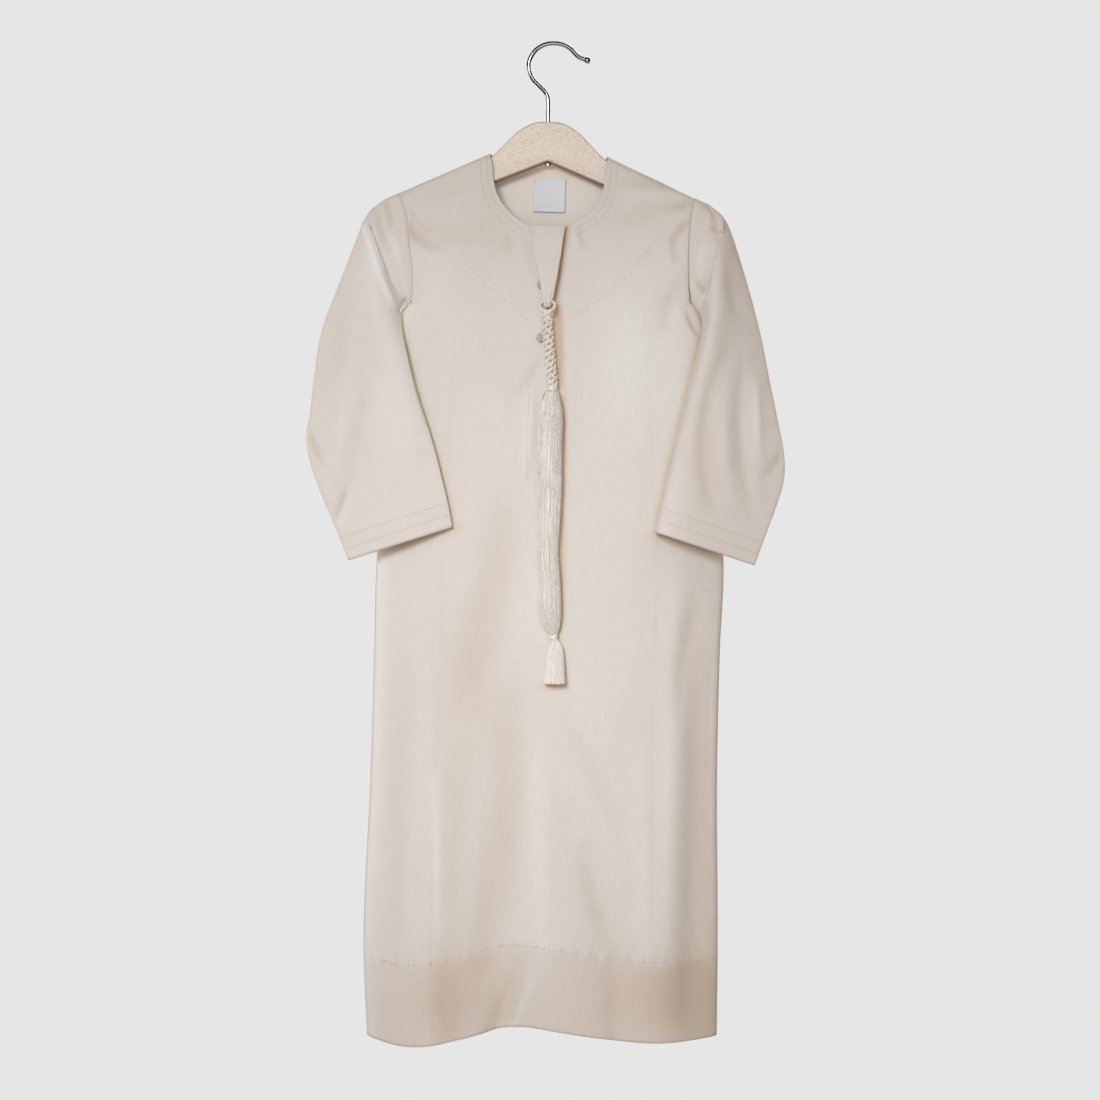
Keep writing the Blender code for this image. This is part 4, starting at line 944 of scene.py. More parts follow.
BOTH_SLEEVES = (
    (0, 13.5, 12.5, 0), (0.5, 17, 13.5, 6), (0.7, 18.6, 13.8, 8.8), (0.9, 21.4, 14, 6.2),
    (1.2, 22.9, 14, 0.5), (1.5, 24.2, 14, -1), (2.5, 24.8, 13.5, 0), (4, 23.5, 12, 0),
    (6, 21, 10, 0), (8, 18.5, 8, 0), (10, 16.5, 7, 0), (11, 15.5, 6.5, 0), (12.5, 14.5, 6.5, 0),
    (14, 13.5, 6.5, 0), (16, 12.5, 7, 0), (18, 12, 8, 0),
)
CUFF_DEPTH = 24.0
SLEEVE_REACH = 5.0    # how far a sleeve's inner face keeps from the body behind it
LIMIT_START = 2.4     # how far outside the body that eases
LIMIT_SLOPE = 3.0
LAYER_GAP = 3.0    # least space between a sleeve's two layers
SLEEVE_LEAN = {-1: 0.5, 1: 0.75}    # how far the front's fullness shifts inwards, left and right
SLEEVE_FULLNESS = {-1: 0.74, 1: 1.0}
LEAN_FORWARD = 14.0    # once a sleeve's inner edge lies this far forward
print("sections of a sleeve:", len(BOTH_SLEEVES))

# %% Creases of the sleeves
LEFT_SLEEVE_CREASES = (
    # the cap
    (-147.5, -140, -138, -172, -1, 2.4, -1.6, -1.5, 0, 1.5),
    (-139, -150, -127.5, -174, -1, 2.4, -1.5, -1.2, 0, 1.5),
    (-156, -146, -144, -186, -1, 3, -1, -1.6, 0, 1.6),
    (-143, -158, -133, -200, 0, 3.4, 0, 0.9, 0, 2),
    (-168, -156, -144, -230, 0, 2.6, 1.4, 2.6, 1.4, 1.8),
    (-144, -228, -120, -345, 0, 12, 2.4, 4.6, 1, 2),
    (-126, -221.5, -139, -238, -2, 2.6, -2.6, -2.4, -0.8, 1.4),
    # the long hanging folds
    (-182, -214, -198, -316, 2, 7, 0, -1.8, 0, 2),
    (-166, -200, -158, -262, -2, 6, 0, -1.5, 0, 2),
    (-157, -276, -188, -410, -3, 8, 0, -2.4, -0.8, 2),
    (-178, -290, -197, -396, 2, 6, 0, 1.5, 0.6, 2),
    (-150, -262, -128, -380, -6, 16, 0, 1.4, 0, 2),
    # the break above the cuff
    (-215, -344, -201, -374, 0, 3.6, -1.6, -1.4, 0, 1.7),
    (-181, -388, -193, -418, 0, 2.6, 0, -2.2, -1.2, 1.4),
    (-175, -386, -187, -420, 0, 4, 0, 1, 0.5, 1.8),
)
RIGHT_SLEEVE_CREASES = (
    # the pouch at the shoulder and the cap
    (135, -143, 139, -163, 3, 2, -1.4, -2.2, -1.8, 1.4),
    (139, -163, 149.5, -157, -6, 2, -1.8, -2.2, -1, 1.4),
    (142, -170, 147, -181, 0, 2, -1.6, -1.2, 0, 1.5),
    (124.5, -150, 120.5, -186, 1, 2.6, -0.8, -1.6, 0, 1.6),
    (131, -176, 127, -206, -1, 4, 0.3, 1.1, 0, 2),
    (119.5, -200, 132, -219, -2, 2.4, -1, -2.2, -0.8, 1.5),
    (126, -224, 136, -206, 1, 3, 0, -1.4, -0.4, 1.6),
    # the long hanging folds
    (158, -258, 137, -406, -17, 7, 0, -2.6, -0.9, 2),
    (167, -268, 173, -415, -8, 6.5, 0, -2.2, -0.6, 2),
    (152, -296, 155, -402, -7, 6, 0, 1.7, 0.4, 2),
    (176, -290, 179, -372, -1, 4, 0, 1.5, 0, 2),
    (152, -176, 160, -250, -2, 6, 0, -1.6, 0, 2),
    (198, -362, 180, -384, 0, 4, -1.2, -1.2, 0, 1.8),
)
print("sleeve creases:", len(LEFT_SLEEVE_CREASES), "left,", len(RIGHT_SLEEVE_CREASES), "right")

# %% [markdown]
# ## Setting a sleeve in
# The sleeve's first ring is read from the panels' own armhole edges, so that the seam closes all
# round. From there the ring of points is worked out from the smooth sections above, then moved out
# by the thickness of the cloth.

# %% Shape a sleeve
RING_POINTS = 120
RING_ANGLES = math.tau * np.arange(RING_POINTS) / RING_POINTS
SLEEVE_STEP = 2.8
CUFF_ROWS = int(CUFF_DEPTH / SLEEVE_STEP)
# painted shade on the doubled cuff band, where less light comes through the two layers
CUFF_PAINTED_SHADE = 0.1
FOLD_SPANS = 6    # the sections that make the big fold, and the steps in each
FOLD_STEPS = 6
INNER_FOLD = {-1: 1.2, 1: 0.65}    # how round each edge of the flattened sleeve is; 1 is an arc
OUTER_FOLD = 0.9
PRESSED = {-1: 1.0, 1: 0.0}    # how far the inner edge is pressed to a sharp fold
PRESSED_FOLD = 1.15


def sleeve_limit(x, z):
    """Furthest back that the sleeve's inner face may lie in front of the body."""
    left, right = body_edges(z)
    beyond = np.maximum(left - x, x - right)
    over_body = -body_depth(x, z, FRONT_FOLDS, 1.0) - SLEEVE_REACH
    beside = -SLEEVE_REACH + LIMIT_SLOPE * np.maximum(0.0, beyond - LIMIT_START)
    limit = np.where(beyond > 0.0, beside, over_body)
    return np.where(z > UNDERARM_Z, 1000.0, limit)


def sleeve_sections(table):
    """The table's rows, made dense along the sleeve."""
    table = [(*own, *shared) for own, shared in zip(table, BOTH_SLEEVES)]
    rows = np.array(table)
    middle = np.stack([rows[:, 0] + rows[:, 2], rows[:, 1] + rows[:, 3]], axis=1) / 2.0
    keys = lengths_along(middle)
    places = [keys[0]]
    for number, (start, end) in enumerate(zip(keys, keys[1:])):
        least = FOLD_STEPS if number < FOLD_SPANS else 3
        count = max(least, int(math.ceil((end - start) / SLEEVE_STEP)))
        places += list(start + (end - start) * np.arange(1, count + 1) / count)
    keyed = [(k, *row) for k, row in zip(keys, table)]
    names = ("key",) + SLEEVE_COLUMNS
    return {n: smooth_curve(names, keyed, n)(np.array(places)) for n in SLEEVE_COLUMNS}


# %% Rings of a sleeve
def sleeve_rings(table, side):
    s = {name: values[:, None] for name, values in sleeve_sections(table).items()}
    angle = RING_ANGLES[None, :]
    along_x = s["outer_x"] - s["inner_x"]
    along_z = s["outer_z"] - s["inner_z"]
    length = np.hypot(along_x, along_z)
    along_x = along_x / length
    along_z = along_z / length
    share = (1.0 - np.cos(angle)) / 2.0
    swell = np.abs(np.sin(angle)) ** mix(INNER_FOLD[side], OUTER_FOLD, share)
    pressed = 1.0 - np.abs(1.0 - 2.0 * np.minimum(share, 0.5)) ** PRESSED_FOLD
    swell = mix(swell, np.where(share < 0.5, pressed, swell), PRESSED[side])
    lean = SLEEVE_LEAN[side] * as_share(s["inner_forward"] / LEAN_FORWARD)
    x = mix(s["inner_x"] + along_x * WALL, s["outer_x"] - along_x * WALL, share)
    z = mix(s["inner_z"] + along_z * WALL, s["outer_z"] - along_z * WALL, share)
    y = -mix(s["inner_forward"], s["outer_forward"], share)
    tuck = s["tuck"] * swell ** 2.2 * side
    front_x = x + along_z * tuck
    front_z = z - along_x * tuck
    fullness = s["front"] * SLEEVE_FULLNESS[side] * (1.0 + lean * np.cos(angle))
    front_y = np.minimum(y - fullness * swell, sleeve_limit(front_x, front_z) - LAYER_GAP * swell)
    back_y = np.minimum(y + s["back"] * swell, sleeve_limit(x, z))
    on_front = angle < math.pi
    return np.stack([np.where(on_front, front_x, x), np.where(on_front, front_y, back_y),
                     np.where(on_front, front_z, z)], axis=2)


# %% Join a sleeve to its armhole
SEAM_STEPS = (0, 0.33, 0.66)    # extra rings between the armhole's edge and the sleeve
CAP_CREASES = 4                 # creases of the cap, which the sleeve's back doesn't repeat
BACK_SHIFT = (9, -12)           # where the back's creases lie beside the front's, and how high
BACK_SHARE = -0.8


def armhole_ring(column, top_z, side):
    """Points of the panels' armhole edges, round the sleeve's first ring."""
    z = mix(UNDERARM_Z + 1, top_z, (1 - np.cos(RING_ANGLES)) / 2)
    ring = np.zeros((RING_POINTS, 3))
    for grid, mine in ((front_grid, RING_ANGLES < math.pi), (back_grid, RING_ANGLES >= math.pi)):
        edge = grid[:UPPER_ROWS + 2, column]
        edge = edge[np.argsort(edge[:, 2])]
        for axis in (0, 1):
            ring[mine, axis] = np.interp(z, edge[:, 2], edge[:, axis])[mine]
    ring[:, 0] += side * SEAM_GAP
    ring[:, 2] = z
    return ring


# %% Crease a sleeve and give it its thickness
def shape_sleeve(table, side, top_z, creases, painted_shades):
    inner = sleeve_rings(table, side)
    x, z = inner[..., 0], inner[..., 2]
    normal = grid_normals(inner, closed=True)
    if normal[40, RING_POINTS // 4, 1] > 0:
        normal = -normal
    facing = np.sin(RING_ANGLES) * 3.0
    on_front = as_share(facing)[None, :]
    on_back = as_share(-facing)[None, :]
    back_creases = [(*c[:6], *(BACK_SHARE * h for h in c[6:9]), c[9])
                    for c in creases[CAP_CREASES:]]
    height = crease_height(x, z, creases) * on_front
    height += crease_height(x + BACK_SHIFT[0] * side, z + BACK_SHIFT[1], back_creases) * on_back
    outer = inner + normal * (WALL + height)[..., None]
    first = armhole_ring(0 if side < 0 else -1, top_z, side)
    steps = [mix(first, outer[0], t) for t in SEAM_STEPS]
    # the tone is painted shade in hollows, narrow creases, broad patches and the cuff band, and
    # painted light on ridges and pale patches
    tone = painted_hollow_shade(height) + painted_crease_shade(x, z, creases) * on_front
    tone += painted_broad_shade(x, z, painted_shades) * on_front
    tone = np.concatenate([np.zeros((len(steps), RING_POINTS)), tone])
    tone[-CUFF_ROWS:] += CUFF_PAINTED_SHADE
    return np.concatenate([np.array(steps), outer]), tone


left_top = float(shoulder_line(armhole_left(ARMHOLE_TOP_LEFT))) + WALL
right_top = float(shoulder_line(armhole_right(ARMHOLE_TOP_RIGHT))) + WALL
left_grid, left_painted_shade = shape_sleeve(LEFT_SLEEVE, -1, left_top, LEFT_SLEEVE_CREASES,
                                    LEFT_SLEEVE_PAINTED_SHADES)
right_grid, right_painted_shade = shape_sleeve(RIGHT_SLEEVE, 1, right_top, RIGHT_SLEEVE_CREASES,
                                      RIGHT_SLEEVE_PAINTED_SHADES)
print("left sleeve:", left_grid.shape, "right sleeve:", right_grid.shape)

# %% Build the sleeves
def face_outwards(mesh, merge_within=0.0):
    """Turns all faces to look out of the mesh, after joining points closer than a distance."""
    bm = bmesh.new()
    bm.from_mesh(mesh)
    if merge_within:
        bmesh.ops.remove_doubles(bm, verts=bm.verts, dist=merge_within)
    bmesh.ops.recalc_face_normals(bm, faces=bm.faces)
    bm.to_mesh(mesh)
    bm.free()


def build_sleeve(name, grid, tone, node_name):
    rows, columns = grid.shape[:2]
    mesh = cloth_mesh(name, grid, closed=True, tone=tone)
    face_outwards(mesh)
    sleeve = add_piece(name, mesh, cotton)
    add_shell(sleeve, CLOTH, TURNED_EDGE,
              np.arange((rows - CUFF_ROWS) * columns, rows * columns))
    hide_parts(node_name)
    print(name, "faces:", len(mesh.polygons))
    return sleeve


left_sleeve = build_sleeve("left_sleeve_cloth", left_grid, left_painted_shade, "sleeve_left")
right_sleeve = build_sleeve("right_sleeve_cloth", right_grid, right_painted_shade, "sleeve_right")

# %% [markdown]
# ## Painted warm light between close layers
# Light that falls between two layers of cream cloth comes out warmer. It shows as a thin golden
# line beside the sleeves, under the cuffs and beside the tassel. A value kept at each point of the
# front says how close those edges are, and the cotton's material paints this warm light into its
# colour.

# %% Painted warm light beside the sleeves and the tassel
EDGE_GLOW = 4.0    # how far it reaches beside the sleeve's edge, the tab and the tassel
CUFF_GLOW = 7.0    # and under the cuff, which stands further off
HANGING_LINE = (
    (9.6, -161), (-3, -231), (3, -240), (4.6, -300), (8.6, -330),
    (6.6, -420), (6.4, -500), (3, -518), (9.6, -562), (-9, -562),
)


def sleeve_outline(grid, side):
    """The sleeve's edge over the front down to the cuff's corner, and the cuff's own edge."""
    lowered = grid[::4]
    inner = np.argmin(lowered[..., 0] * side, axis=1)
    edge = lowered[np.arange(len(lowered)), inner][:, [0, 2]]
    cuff = grid[-1]
    ends = cuff[[np.argmin(cuff[:, 0] * side), np.argmax(cuff[:, 0] * side)]][:, [0, 2]]
    return edge[edge[:, 1] < UNDERARM_Z], ends


def read_points(mesh, what="co"):
    """The places of a mesh's points, in metres, or their normals."""
    values = np.zeros(len(mesh.vertices) * 3, np.float32)
    mesh.vertices.foreach_get(what, values)
    return values.reshape(-1, 3)


points = read_points(front_panel.data) / MM
painted_warm_light = np.zeros(len(points))
left_edge, left_cuff = sleeve_outline(left_grid, -1)
right_edge, right_cuff = sleeve_outline(right_grid, 1)
for line, reach in ((left_edge, EDGE_GLOW), (right_edge, EDGE_GLOW), (HANGING_LINE, EDGE_GLOW),
                    (left_cuff, CUFF_GLOW), (right_cuff, CUFF_GLOW)):
    away, _ = near_line(points[:, 0], points[:, 2], line)
    painted_warm_light = np.maximum(painted_warm_light, bell(away, reach))
store(front_panel.data, "painted_warm_light", painted_warm_light)
print("points of the front in warm light:", int((painted_warm_light > 0.5).sum()))

# %% [markdown]
# ## The neck tab
# A pointed flap of cloth hangs from the middle of the neckline, in front of the slit. It narrows to
# a gathered tip that passes through the tassel's loop. It stands a few millimetres off the robe, so
# it throws a dark shadow along its right edge.

# %% Shape the neck tab
TAB_COLUMNS = ("z", "left", "right", "stand_off")
TAB_SECTIONS = (
    (-161, -22.6, 9.6, 0.5),
    (-174, -19.8, 7.4, 1.8),
    (-188, -17, 5.4, 3.4),
    (-201, -14.4, 3.2, 5.4),
    (-213, -12.3, 0.9, 6.2),
    (-223, -11, -1, 6.2),
    (-229, -9.7, -3, 6.2),
    (-233.5, -8.6, -4.6, 6.2),
)
TAB_WALL = 1.6
TAB_COLUMNS_ACROSS = 33
TAB_STEPS = 64
GATHER_TOP_Z = -200.0    # the gathers deepen from here down to the tip
GATHER_LENGTH = 33.0


def outside_front(x, z):
    """The CAD front panel's outer face, before the fine creases."""
    return -body_depth(np.asarray(x, float), np.asarray(z, float), FRONT_FOLDS, 1.0) - WALL


z = np.linspace(TAB_SECTIONS[0][0], TAB_SECTIONS[-1][0], TAB_STEPS)[:, None]
u = np.linspace(0.0, 1.0, TAB_COLUMNS_ACROSS)[None, :]
tab = {n: smooth_curve(TAB_COLUMNS, TAB_SECTIONS, n)(z) for n in TAB_COLUMNS[1:]}
x = mix(tab["left"], tab["right"], u)
gather = as_share((GATHER_TOP_Z - z) / GATHER_LENGTH) ** 1.5
flat_y = outside_front(np.full_like(z, SLIT_X), z) - tab["stand_off"]
y = np.minimum(flat_y, outside_front(x, z + 0.0 * x) - 0.3) - TAB_WALL
y = y + 0.55 * gather * np.cos(5.0 * math.pi * (u - 0.5)) + 0.5 * (2.0 * u - 1.0) ** 4
tab_grid = np.stack([x, y, z + 0.0 * x], axis=2)
tab_mesh = cloth_mesh("neck_tab_cloth", tab_grid)
neck_tab = add_piece("neck_tab_cloth", tab_mesh, cotton)
add_shell(neck_tab, 0.9, 0.9, [])
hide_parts("neck_tab")
print("tab:", tab_grid.shape)

# %% [markdown]
# ## Laying small things on the cloth
# Stitches, buttons and the label sit on cloth that is already shaped. A ray sent straight at the
# cloth from in front finds the exact place, and the way the cloth faces there. The same works from
# behind for the back of the robe.

# %% Find a place on the cloth
def surface_of(grid, closed=False):
    """The cloth in a form that rays can be sent at."""
    _, _, quads = grid_quads(grid, closed)
    return BVHTree.FromPolygons(grid.reshape(-1, 3).tolist(), quads)


front_surface = surface_of(front_grid)
back_surface = surface_of(back_grid)
left_surface = surface_of(left_grid, closed=True)
right_surface = surface_of(right_grid, closed=True)
tab_surface = surface_of(tab_grid)


def lay_on(surface, x, z, facing=-1):
    """The point and outward direction of the cloth at x, z, in mm, or None beside it."""
    start = Vector((x, facing * 200.0, z))
    place, normal, _, _ = surface.ray_cast(start, Vector((0.0, -facing, 0.0)))
    if place is None:
        return None
    if normal.y * facing < 0:
        normal = -normal
    return np.array(place), np.array(normal)


print("cloth at the chest:", np.round(lay_on(front_surface, 0.0, -350.0)[0], 1))

# %% [markdown]
# ## Stitches
# A machine stitch shows as a short length of thread whose ends dive into the cloth. One small
# spindle of a few faces is copied along each sewn line and all copies become one mesh, which is far
# quicker than hundreds of objects.

# %% Sewing thread material
DEEP_SHADE = (0.52, 0.44, 0.37)


def make_thread(name, light, dark, roughness, sheen, fleck=0.0):
    material, tree, shader = new_material(name, light, roughness, Sheen_Weight=sheen,
                                          Sheen_Roughness=0.3, Specular_IOR_Level=0.5)
    place = node(tree, "ShaderNodeTexCoord").outputs["Object"]
    strands = stretched_noise(tree, place, (900.0, 900.0, 160.0), 2.0)
    broad = stretched_noise(tree, place, (120.0, 120.0, 35.0), 2.0)
    glints = stretched_noise(tree, place, (1100.0, 1100.0, 450.0), 1.0)
    amount = scaled(tree, broad, 0.6, -0.2 - 0.5 * fleck)
    amount = scaled(tree, strands, 0.7, amount)
    amount = scaled(tree, glints, fleck, amount)
    tint = mixed(tree, light, dark, amount)
    wire(tree, mixed(tree, tint, DEEP_SHADE, stored(tree, "shade")), shader.inputs["Base Color"])
    raised(tree, shader, strands, 0.00012)
    return material


sewing_thread = make_thread("sewing_thread", (0.69, 0.625, 0.56), (0.58, 0.51, 0.445), 0.55, 0.1)
# the hem's and cuffs' thread is darker, as painted shade along their rows
hem_thread_painted_shade = make_thread("hem_thread_painted_shade", (0.56, 0.49, 0.42), (0.45, 0.38, 0.32), 0.55, 0.1)
satin_thread = make_thread("satin_thread", (0.87, 0.845, 0.825), (0.79, 0.76, 0.735), 0.42, 0.2)
print("thread nodes:", len(satin_thread.node_tree.nodes))

# %% Make rows of stitches
SPINDLE_STATIONS = ((-1, 0.3, -0.8), (-0.7, 0.85, 0), (0, 1, 0.35), (0.7, 0.85, 0),
                    (1, 0.3, -0.8))
SPINDLE_SIDES = 6
SPINDLE_FLATNESS = 0.55


def tube_faces(base, rings, sides):
    """Faces of a closed tube, whose points are numbered ring after ring."""
    faces = []
    last = base + (rings - 1) * sides
    for first in range(base, last, sides):
        for k in range(sides):
            j = (k + 1) % sides
            faces.append((first + k, first + sides + k, first + sides + j, first + j))
    return faces + [tuple(base + k for k in range(sides)),
                    tuple(last + k for k in reversed(range(sides)))]


def solid_mesh(name, points, faces):
    """A smooth closed mesh of points in millimetres."""
    mesh = bpy.data.meshes.new(name)
    mesh.from_pydata((np.array(points) * MM).tolist(), [], faces)
    face_outwards(mesh)
    mesh.shade_smooth()
    return mesh


# %% Sew stitches as one piece
def spindle_mesh(name, stitches):
    """One mesh of spindles; each stitch is (place, direction, up, half length, radius)."""
    points = []
    faces = []
    for place, direction, up, half, radius in stitches:
        forward = direction / np.linalg.norm(direction)
        side = np.cross(up, forward)
        side = side / np.linalg.norm(side)
        top = np.cross(forward, side)
        faces += tube_faces(len(points), len(SPINDLE_STATIONS), SPINDLE_SIDES)
        for along, size, lift in SPINDLE_STATIONS:
            middle = place + forward * half * along + top * radius * lift
            for k in range(SPINDLE_SIDES):
                a = math.tau * k / SPINDLE_SIDES
                points.append(middle + radius * size * (side * math.cos(a)
                                                        + top * math.sin(a) * SPINDLE_FLATNESS))
    return solid_mesh(name, points, faces)


def sew(name, stitches, thread):
    """Adds all the stitches of one kind as one piece."""
    print(name, "has", len(stitches), "stitches")
    return add_piece(name, spindle_mesh(name, stitches), thread)


# %% Lay stitches along lines
WHOLE_LINE = 1000.0    # longer than any line, so that it takes one stitch from end to end


def headings(line):
    """Unit directions along a line of points."""
    along = np.gradient(line, axis=0)
    return along / np.maximum(np.linalg.norm(along, axis=1, keepdims=True), 1e-9)


def sideways_of(line):
    """Unit directions to the left of a line of x, z points."""
    heading = headings(line)
    return np.stack([-heading[:, 1], heading[:, 0]], axis=1)


def stitch_line(surface, line, facing=-1, pitch=2.6, length=1.9, radius=0.24, lift=0.06):
    """Stitches end to end along a line of x, z points laid on the cloth."""
    made = []
    laid = [lay_on(surface, float(x), float(z), facing) for x, z in walk_along(line, pitch)]
    for before, after in zip(laid, laid[1:]):
        if before is None or after is None:
            continue
        run = after[0] - before[0]
        if np.linalg.norm(run) > 3.0 * pitch:
            continue
        up = before[1] + after[1]
        up = up / np.linalg.norm(up)
        made.append(((before[0] + after[0]) / 2.0 + up * lift, run, up, length / 2.0, radius))
    return made


def single_stitch(surface, a, b, facing=-1, share=1.0, radius=0.24, lift=0.06):
    """One stitch between two points; share says how much of the way it covers."""
    length = float(np.linalg.norm(np.asarray(b) - np.asarray(a))) * share
    return stitch_line(surface, (a, b), facing, WHOLE_LINE, length, radius, lift)


def zigzag_line(surface, line, facing=-1, pitch=1.5, reach=0.8, radius=0.2):
    """A fine zigzag row, as an overlock or a narrow decorative stitch leaves."""
    places = walk_along(line, pitch)
    swing = np.where(np.arange(len(places)) % 2 == 0, reach, -reach)[:, None]
    corners = places + sideways_of(places) * swing
    return [stitch for a, b in zip(corners, corners[1:])
            for stitch in single_stitch(surface, a, b, facing, 0.98, radius)]


# %% [markdown]
# Two fine decorative rows run round the neckline. They are made from the neckline itself, moved
# out by their distance from the edge.

# %% Rows round the neckline
NECK_ROWS = (4.6, 10.4)
SEAM_CLEARANCE = 0.8    # the rows end this far below the shoulder seams
TAB_MIDDLE_X = -6.5
TAB_HALF_WIDTH = 15.5    # and at the sides of the tab


def neck_row(line, distance):
    """The neckline moved away from the neck's middle, and cut off at the shoulder seams."""
    points = walk_along(line, 2.0)
    row = points - sideways_of(points) * distance
    return row[row[:, 1] < shoulder_line(row[:, 0]) - SEAM_CLEARANCE]


neck_stitches = []
for distance in NECK_ROWS:
    row = neck_row(FRONT_NECKLINE, distance)
    from_tab = row[:, 0] - TAB_MIDDLE_X
    for part in (row[from_tab < -TAB_HALF_WIDTH], row[from_tab > TAB_HALF_WIDTH]):
        neck_stitches += zigzag_line(front_surface, part)
    neck_stitches += zigzag_line(back_surface, neck_row(BACK_NECKLINE, distance), facing=1)
sew("neckline_stitching", neck_stitches, sewing_thread)

# %% [markdown]
# The hem's row follows the hem 70 mm up, all round. The cuffs have two rows each, one close to the
# edge and one where the turned-up band ends.

# %% Row at the hem
PANEL_SIDES = ((front_grid, front_surface, -1), (back_grid, back_surface, 1))
hem_stitches = []
for grid, surface, facing in PANEL_SIDES:
    row = grid[-HEM_ROWS - 1][:, [0, 2]]
    hem_stitches += stitch_line(surface, row[2:-2], facing, pitch=2.9, length=2.2)

# %% Small ridges that the hem's stitches draw up in the cloth
rng = np.random.default_rng(11)
puckers = []
for grid, surface, facing in PANEL_SIDES:
    row = walk_along(grid[-HEM_ROWS - 1][2:-2:6, [0, 2]], 0.5)
    step = 0
    while step < len(row):
        top = row[step] + (rng.uniform(-0.8, 1.6), rng.uniform(2.2, 6.0))
        foot = row[step] + (0.0, -rng.uniform(0.4, 2.0))
        puckers += single_stitch(surface, top, foot, facing, radius=0.5, lift=-0.1)
        step += rng.integers(5, 14)
sew("hem_puckers", puckers, cotton)

# %% Rows at the cuffs
CUFF_STITCH_ROWS = (10.4, 22.6)
FOLD_SPACE = 3    # points of a ring left out at each edge of the flattened cuff
cuff_stitches = []
for grid, surface in ((left_grid, left_surface), (right_grid, right_surface)):
    from_cuff = np.linalg.norm(np.diff(grid[:, ::4], axis=0), axis=2).mean(axis=1)
    from_cuff = np.concatenate([np.cumsum(from_cuff[::-1])[::-1], [0.0]])
    for distance in CUFF_STITCH_ROWS:
        ring = grid[int(np.argmin(np.abs(from_cuff - distance)))][:, [0, 2]]
        for half, facing in zip(np.split(ring, 2), (-1, 1)):
            cuff_stitches += stitch_line(surface, half[FOLD_SPACE:-FOLD_SPACE], facing, 2.6, 2.0)
sew("hem_and_cuff_stitching", hem_stitches + cuff_stitches, hem_thread_painted_shade)

# %% [markdown]
# The pocket is hidden in the right side seam. All that shows is its row of stitches and the bar
# tack, a short dense row, that closes its lower end. One more row holds the facing behind the slit,
# and a few short ones hold the tab at the neckline.

# %% Rows at the pocket and the slit
POCKET_ROW = ((129, -300), (129, -485))
BAR_TACK = ((129, -479), (142, -479))
SLIT_ROW = ((-22, -300), (-23.5, -340), (-23.5, -384))
TAB_ROWS = (
    ((-20.6, -163), (-18.6, -173)), ((-18.8, -163), (-17.2, -173)),
    ((7.6, -163), (6, -173)), ((5.9, -163), (4.6, -173)),
    ((-6.5, -163), (-6.5, -171)),
)
seam_stitches = stitch_line(front_surface, POCKET_ROW)
seam_stitches += stitch_line(front_surface, BAR_TACK, pitch=0.9, length=1.6, radius=0.3)
seam_stitches += stitch_line(front_surface, SLIT_ROW)
for row in TAB_ROWS:
    seam_stitches += stitch_line(tab_surface, row, pitch=2.0)
sew("pocket_and_slit_stitching", seam_stitches, sewing_thread)

# %% [markdown]
# ## The embroidered yoke
# A V of tone-on-tone embroidery runs from each armhole towards the foot of the slit, a traditional
# decoration of such robes. It is a plain ladder here: two chained lines with small satin diamonds
# between them, a block of satin bars at the armhole and one latticed diamond further down.

# %% Draw the yoke's motifs
YOKE_LEFT = ((-127.5, -147), (-108, -165.1), (-88.1, -183), (-66.7, -206.1),
             (-41.4, -227.4), (-15.5, -252.5))
YOKE_RIGHT = ((114.8, -149.4), (93, -168.5), (87.5, -175), (64, -205.3),
              (24.7, -235.4), (11.5, -246.5))
LATTICE_THREADS = 6
SATIN_SPACING = 0.55


def thread_between(a, b, radius=0.26):
    return single_stitch(front_surface, a, b, share=1.05, radius=radius, lift=0.1)


def band_frame(line):
    """Points along the band, the directions across it, and their distances from its start."""
    points = walk_along(line, 0.5)
    return points, sideways_of(points), lengths_along(points)


def satin_bars(line, start, end, half_width, spacing):
    """Long threads laid side by side across the band."""
    made = []
    points, sideways, keys = band_frame(line)
    for key in np.arange(start, end, spacing):
        k = int(np.argmin(np.abs(keys - key)))
        made += thread_between(points[k] - sideways[k] * half_width,
                               points[k] + sideways[k] * half_width)
    return made


def diamond(line, middle, half_length, half_width, lattice):
    """A diamond of satin stitches, or of crossed threads."""
    made = []
    points, sideways, keys = band_frame(line)
    k = int(np.argmin(np.abs(keys - middle)))
    centre, side = points[k], sideways[k]
    ahead = np.array((side[1], -side[0]))
    if lattice:
        top, foot = centre + ahead * half_length, centre - ahead * half_length
        left, right = centre + side * half_width, centre - side * half_width
        for step in np.linspace(0.0, 1.0, LATTICE_THREADS):
            made += thread_between(mix(top, left, step), mix(right, foot, step), 0.2)
            made += thread_between(mix(left, foot, step), mix(top, right, step), 0.2)
        return made
    for offset in np.arange(-half_length, half_length + 0.01, SATIN_SPACING):
        reach = half_width * (1.0 - abs(offset) / half_length)
        if reach > 0.2:
            spot = centre + ahead * offset
            made += thread_between(spot - side * reach, spot + side * reach)
    return made


print("yoke's left arm:", round(float(band_frame(YOKE_LEFT)[2][-1])), "mm")

# %% Sew the yoke
BAND_HALF_WIDTH = 2.1
LINES_FROM = 30.0    # along the band from the armhole, as are the next three
BARS_SPAN = (2, 26)
LATTICE_AT = 52.0
SMALL_DIAMONDS_FROM = 66.0
SMALL_DIAMOND_PITCH = 6.2

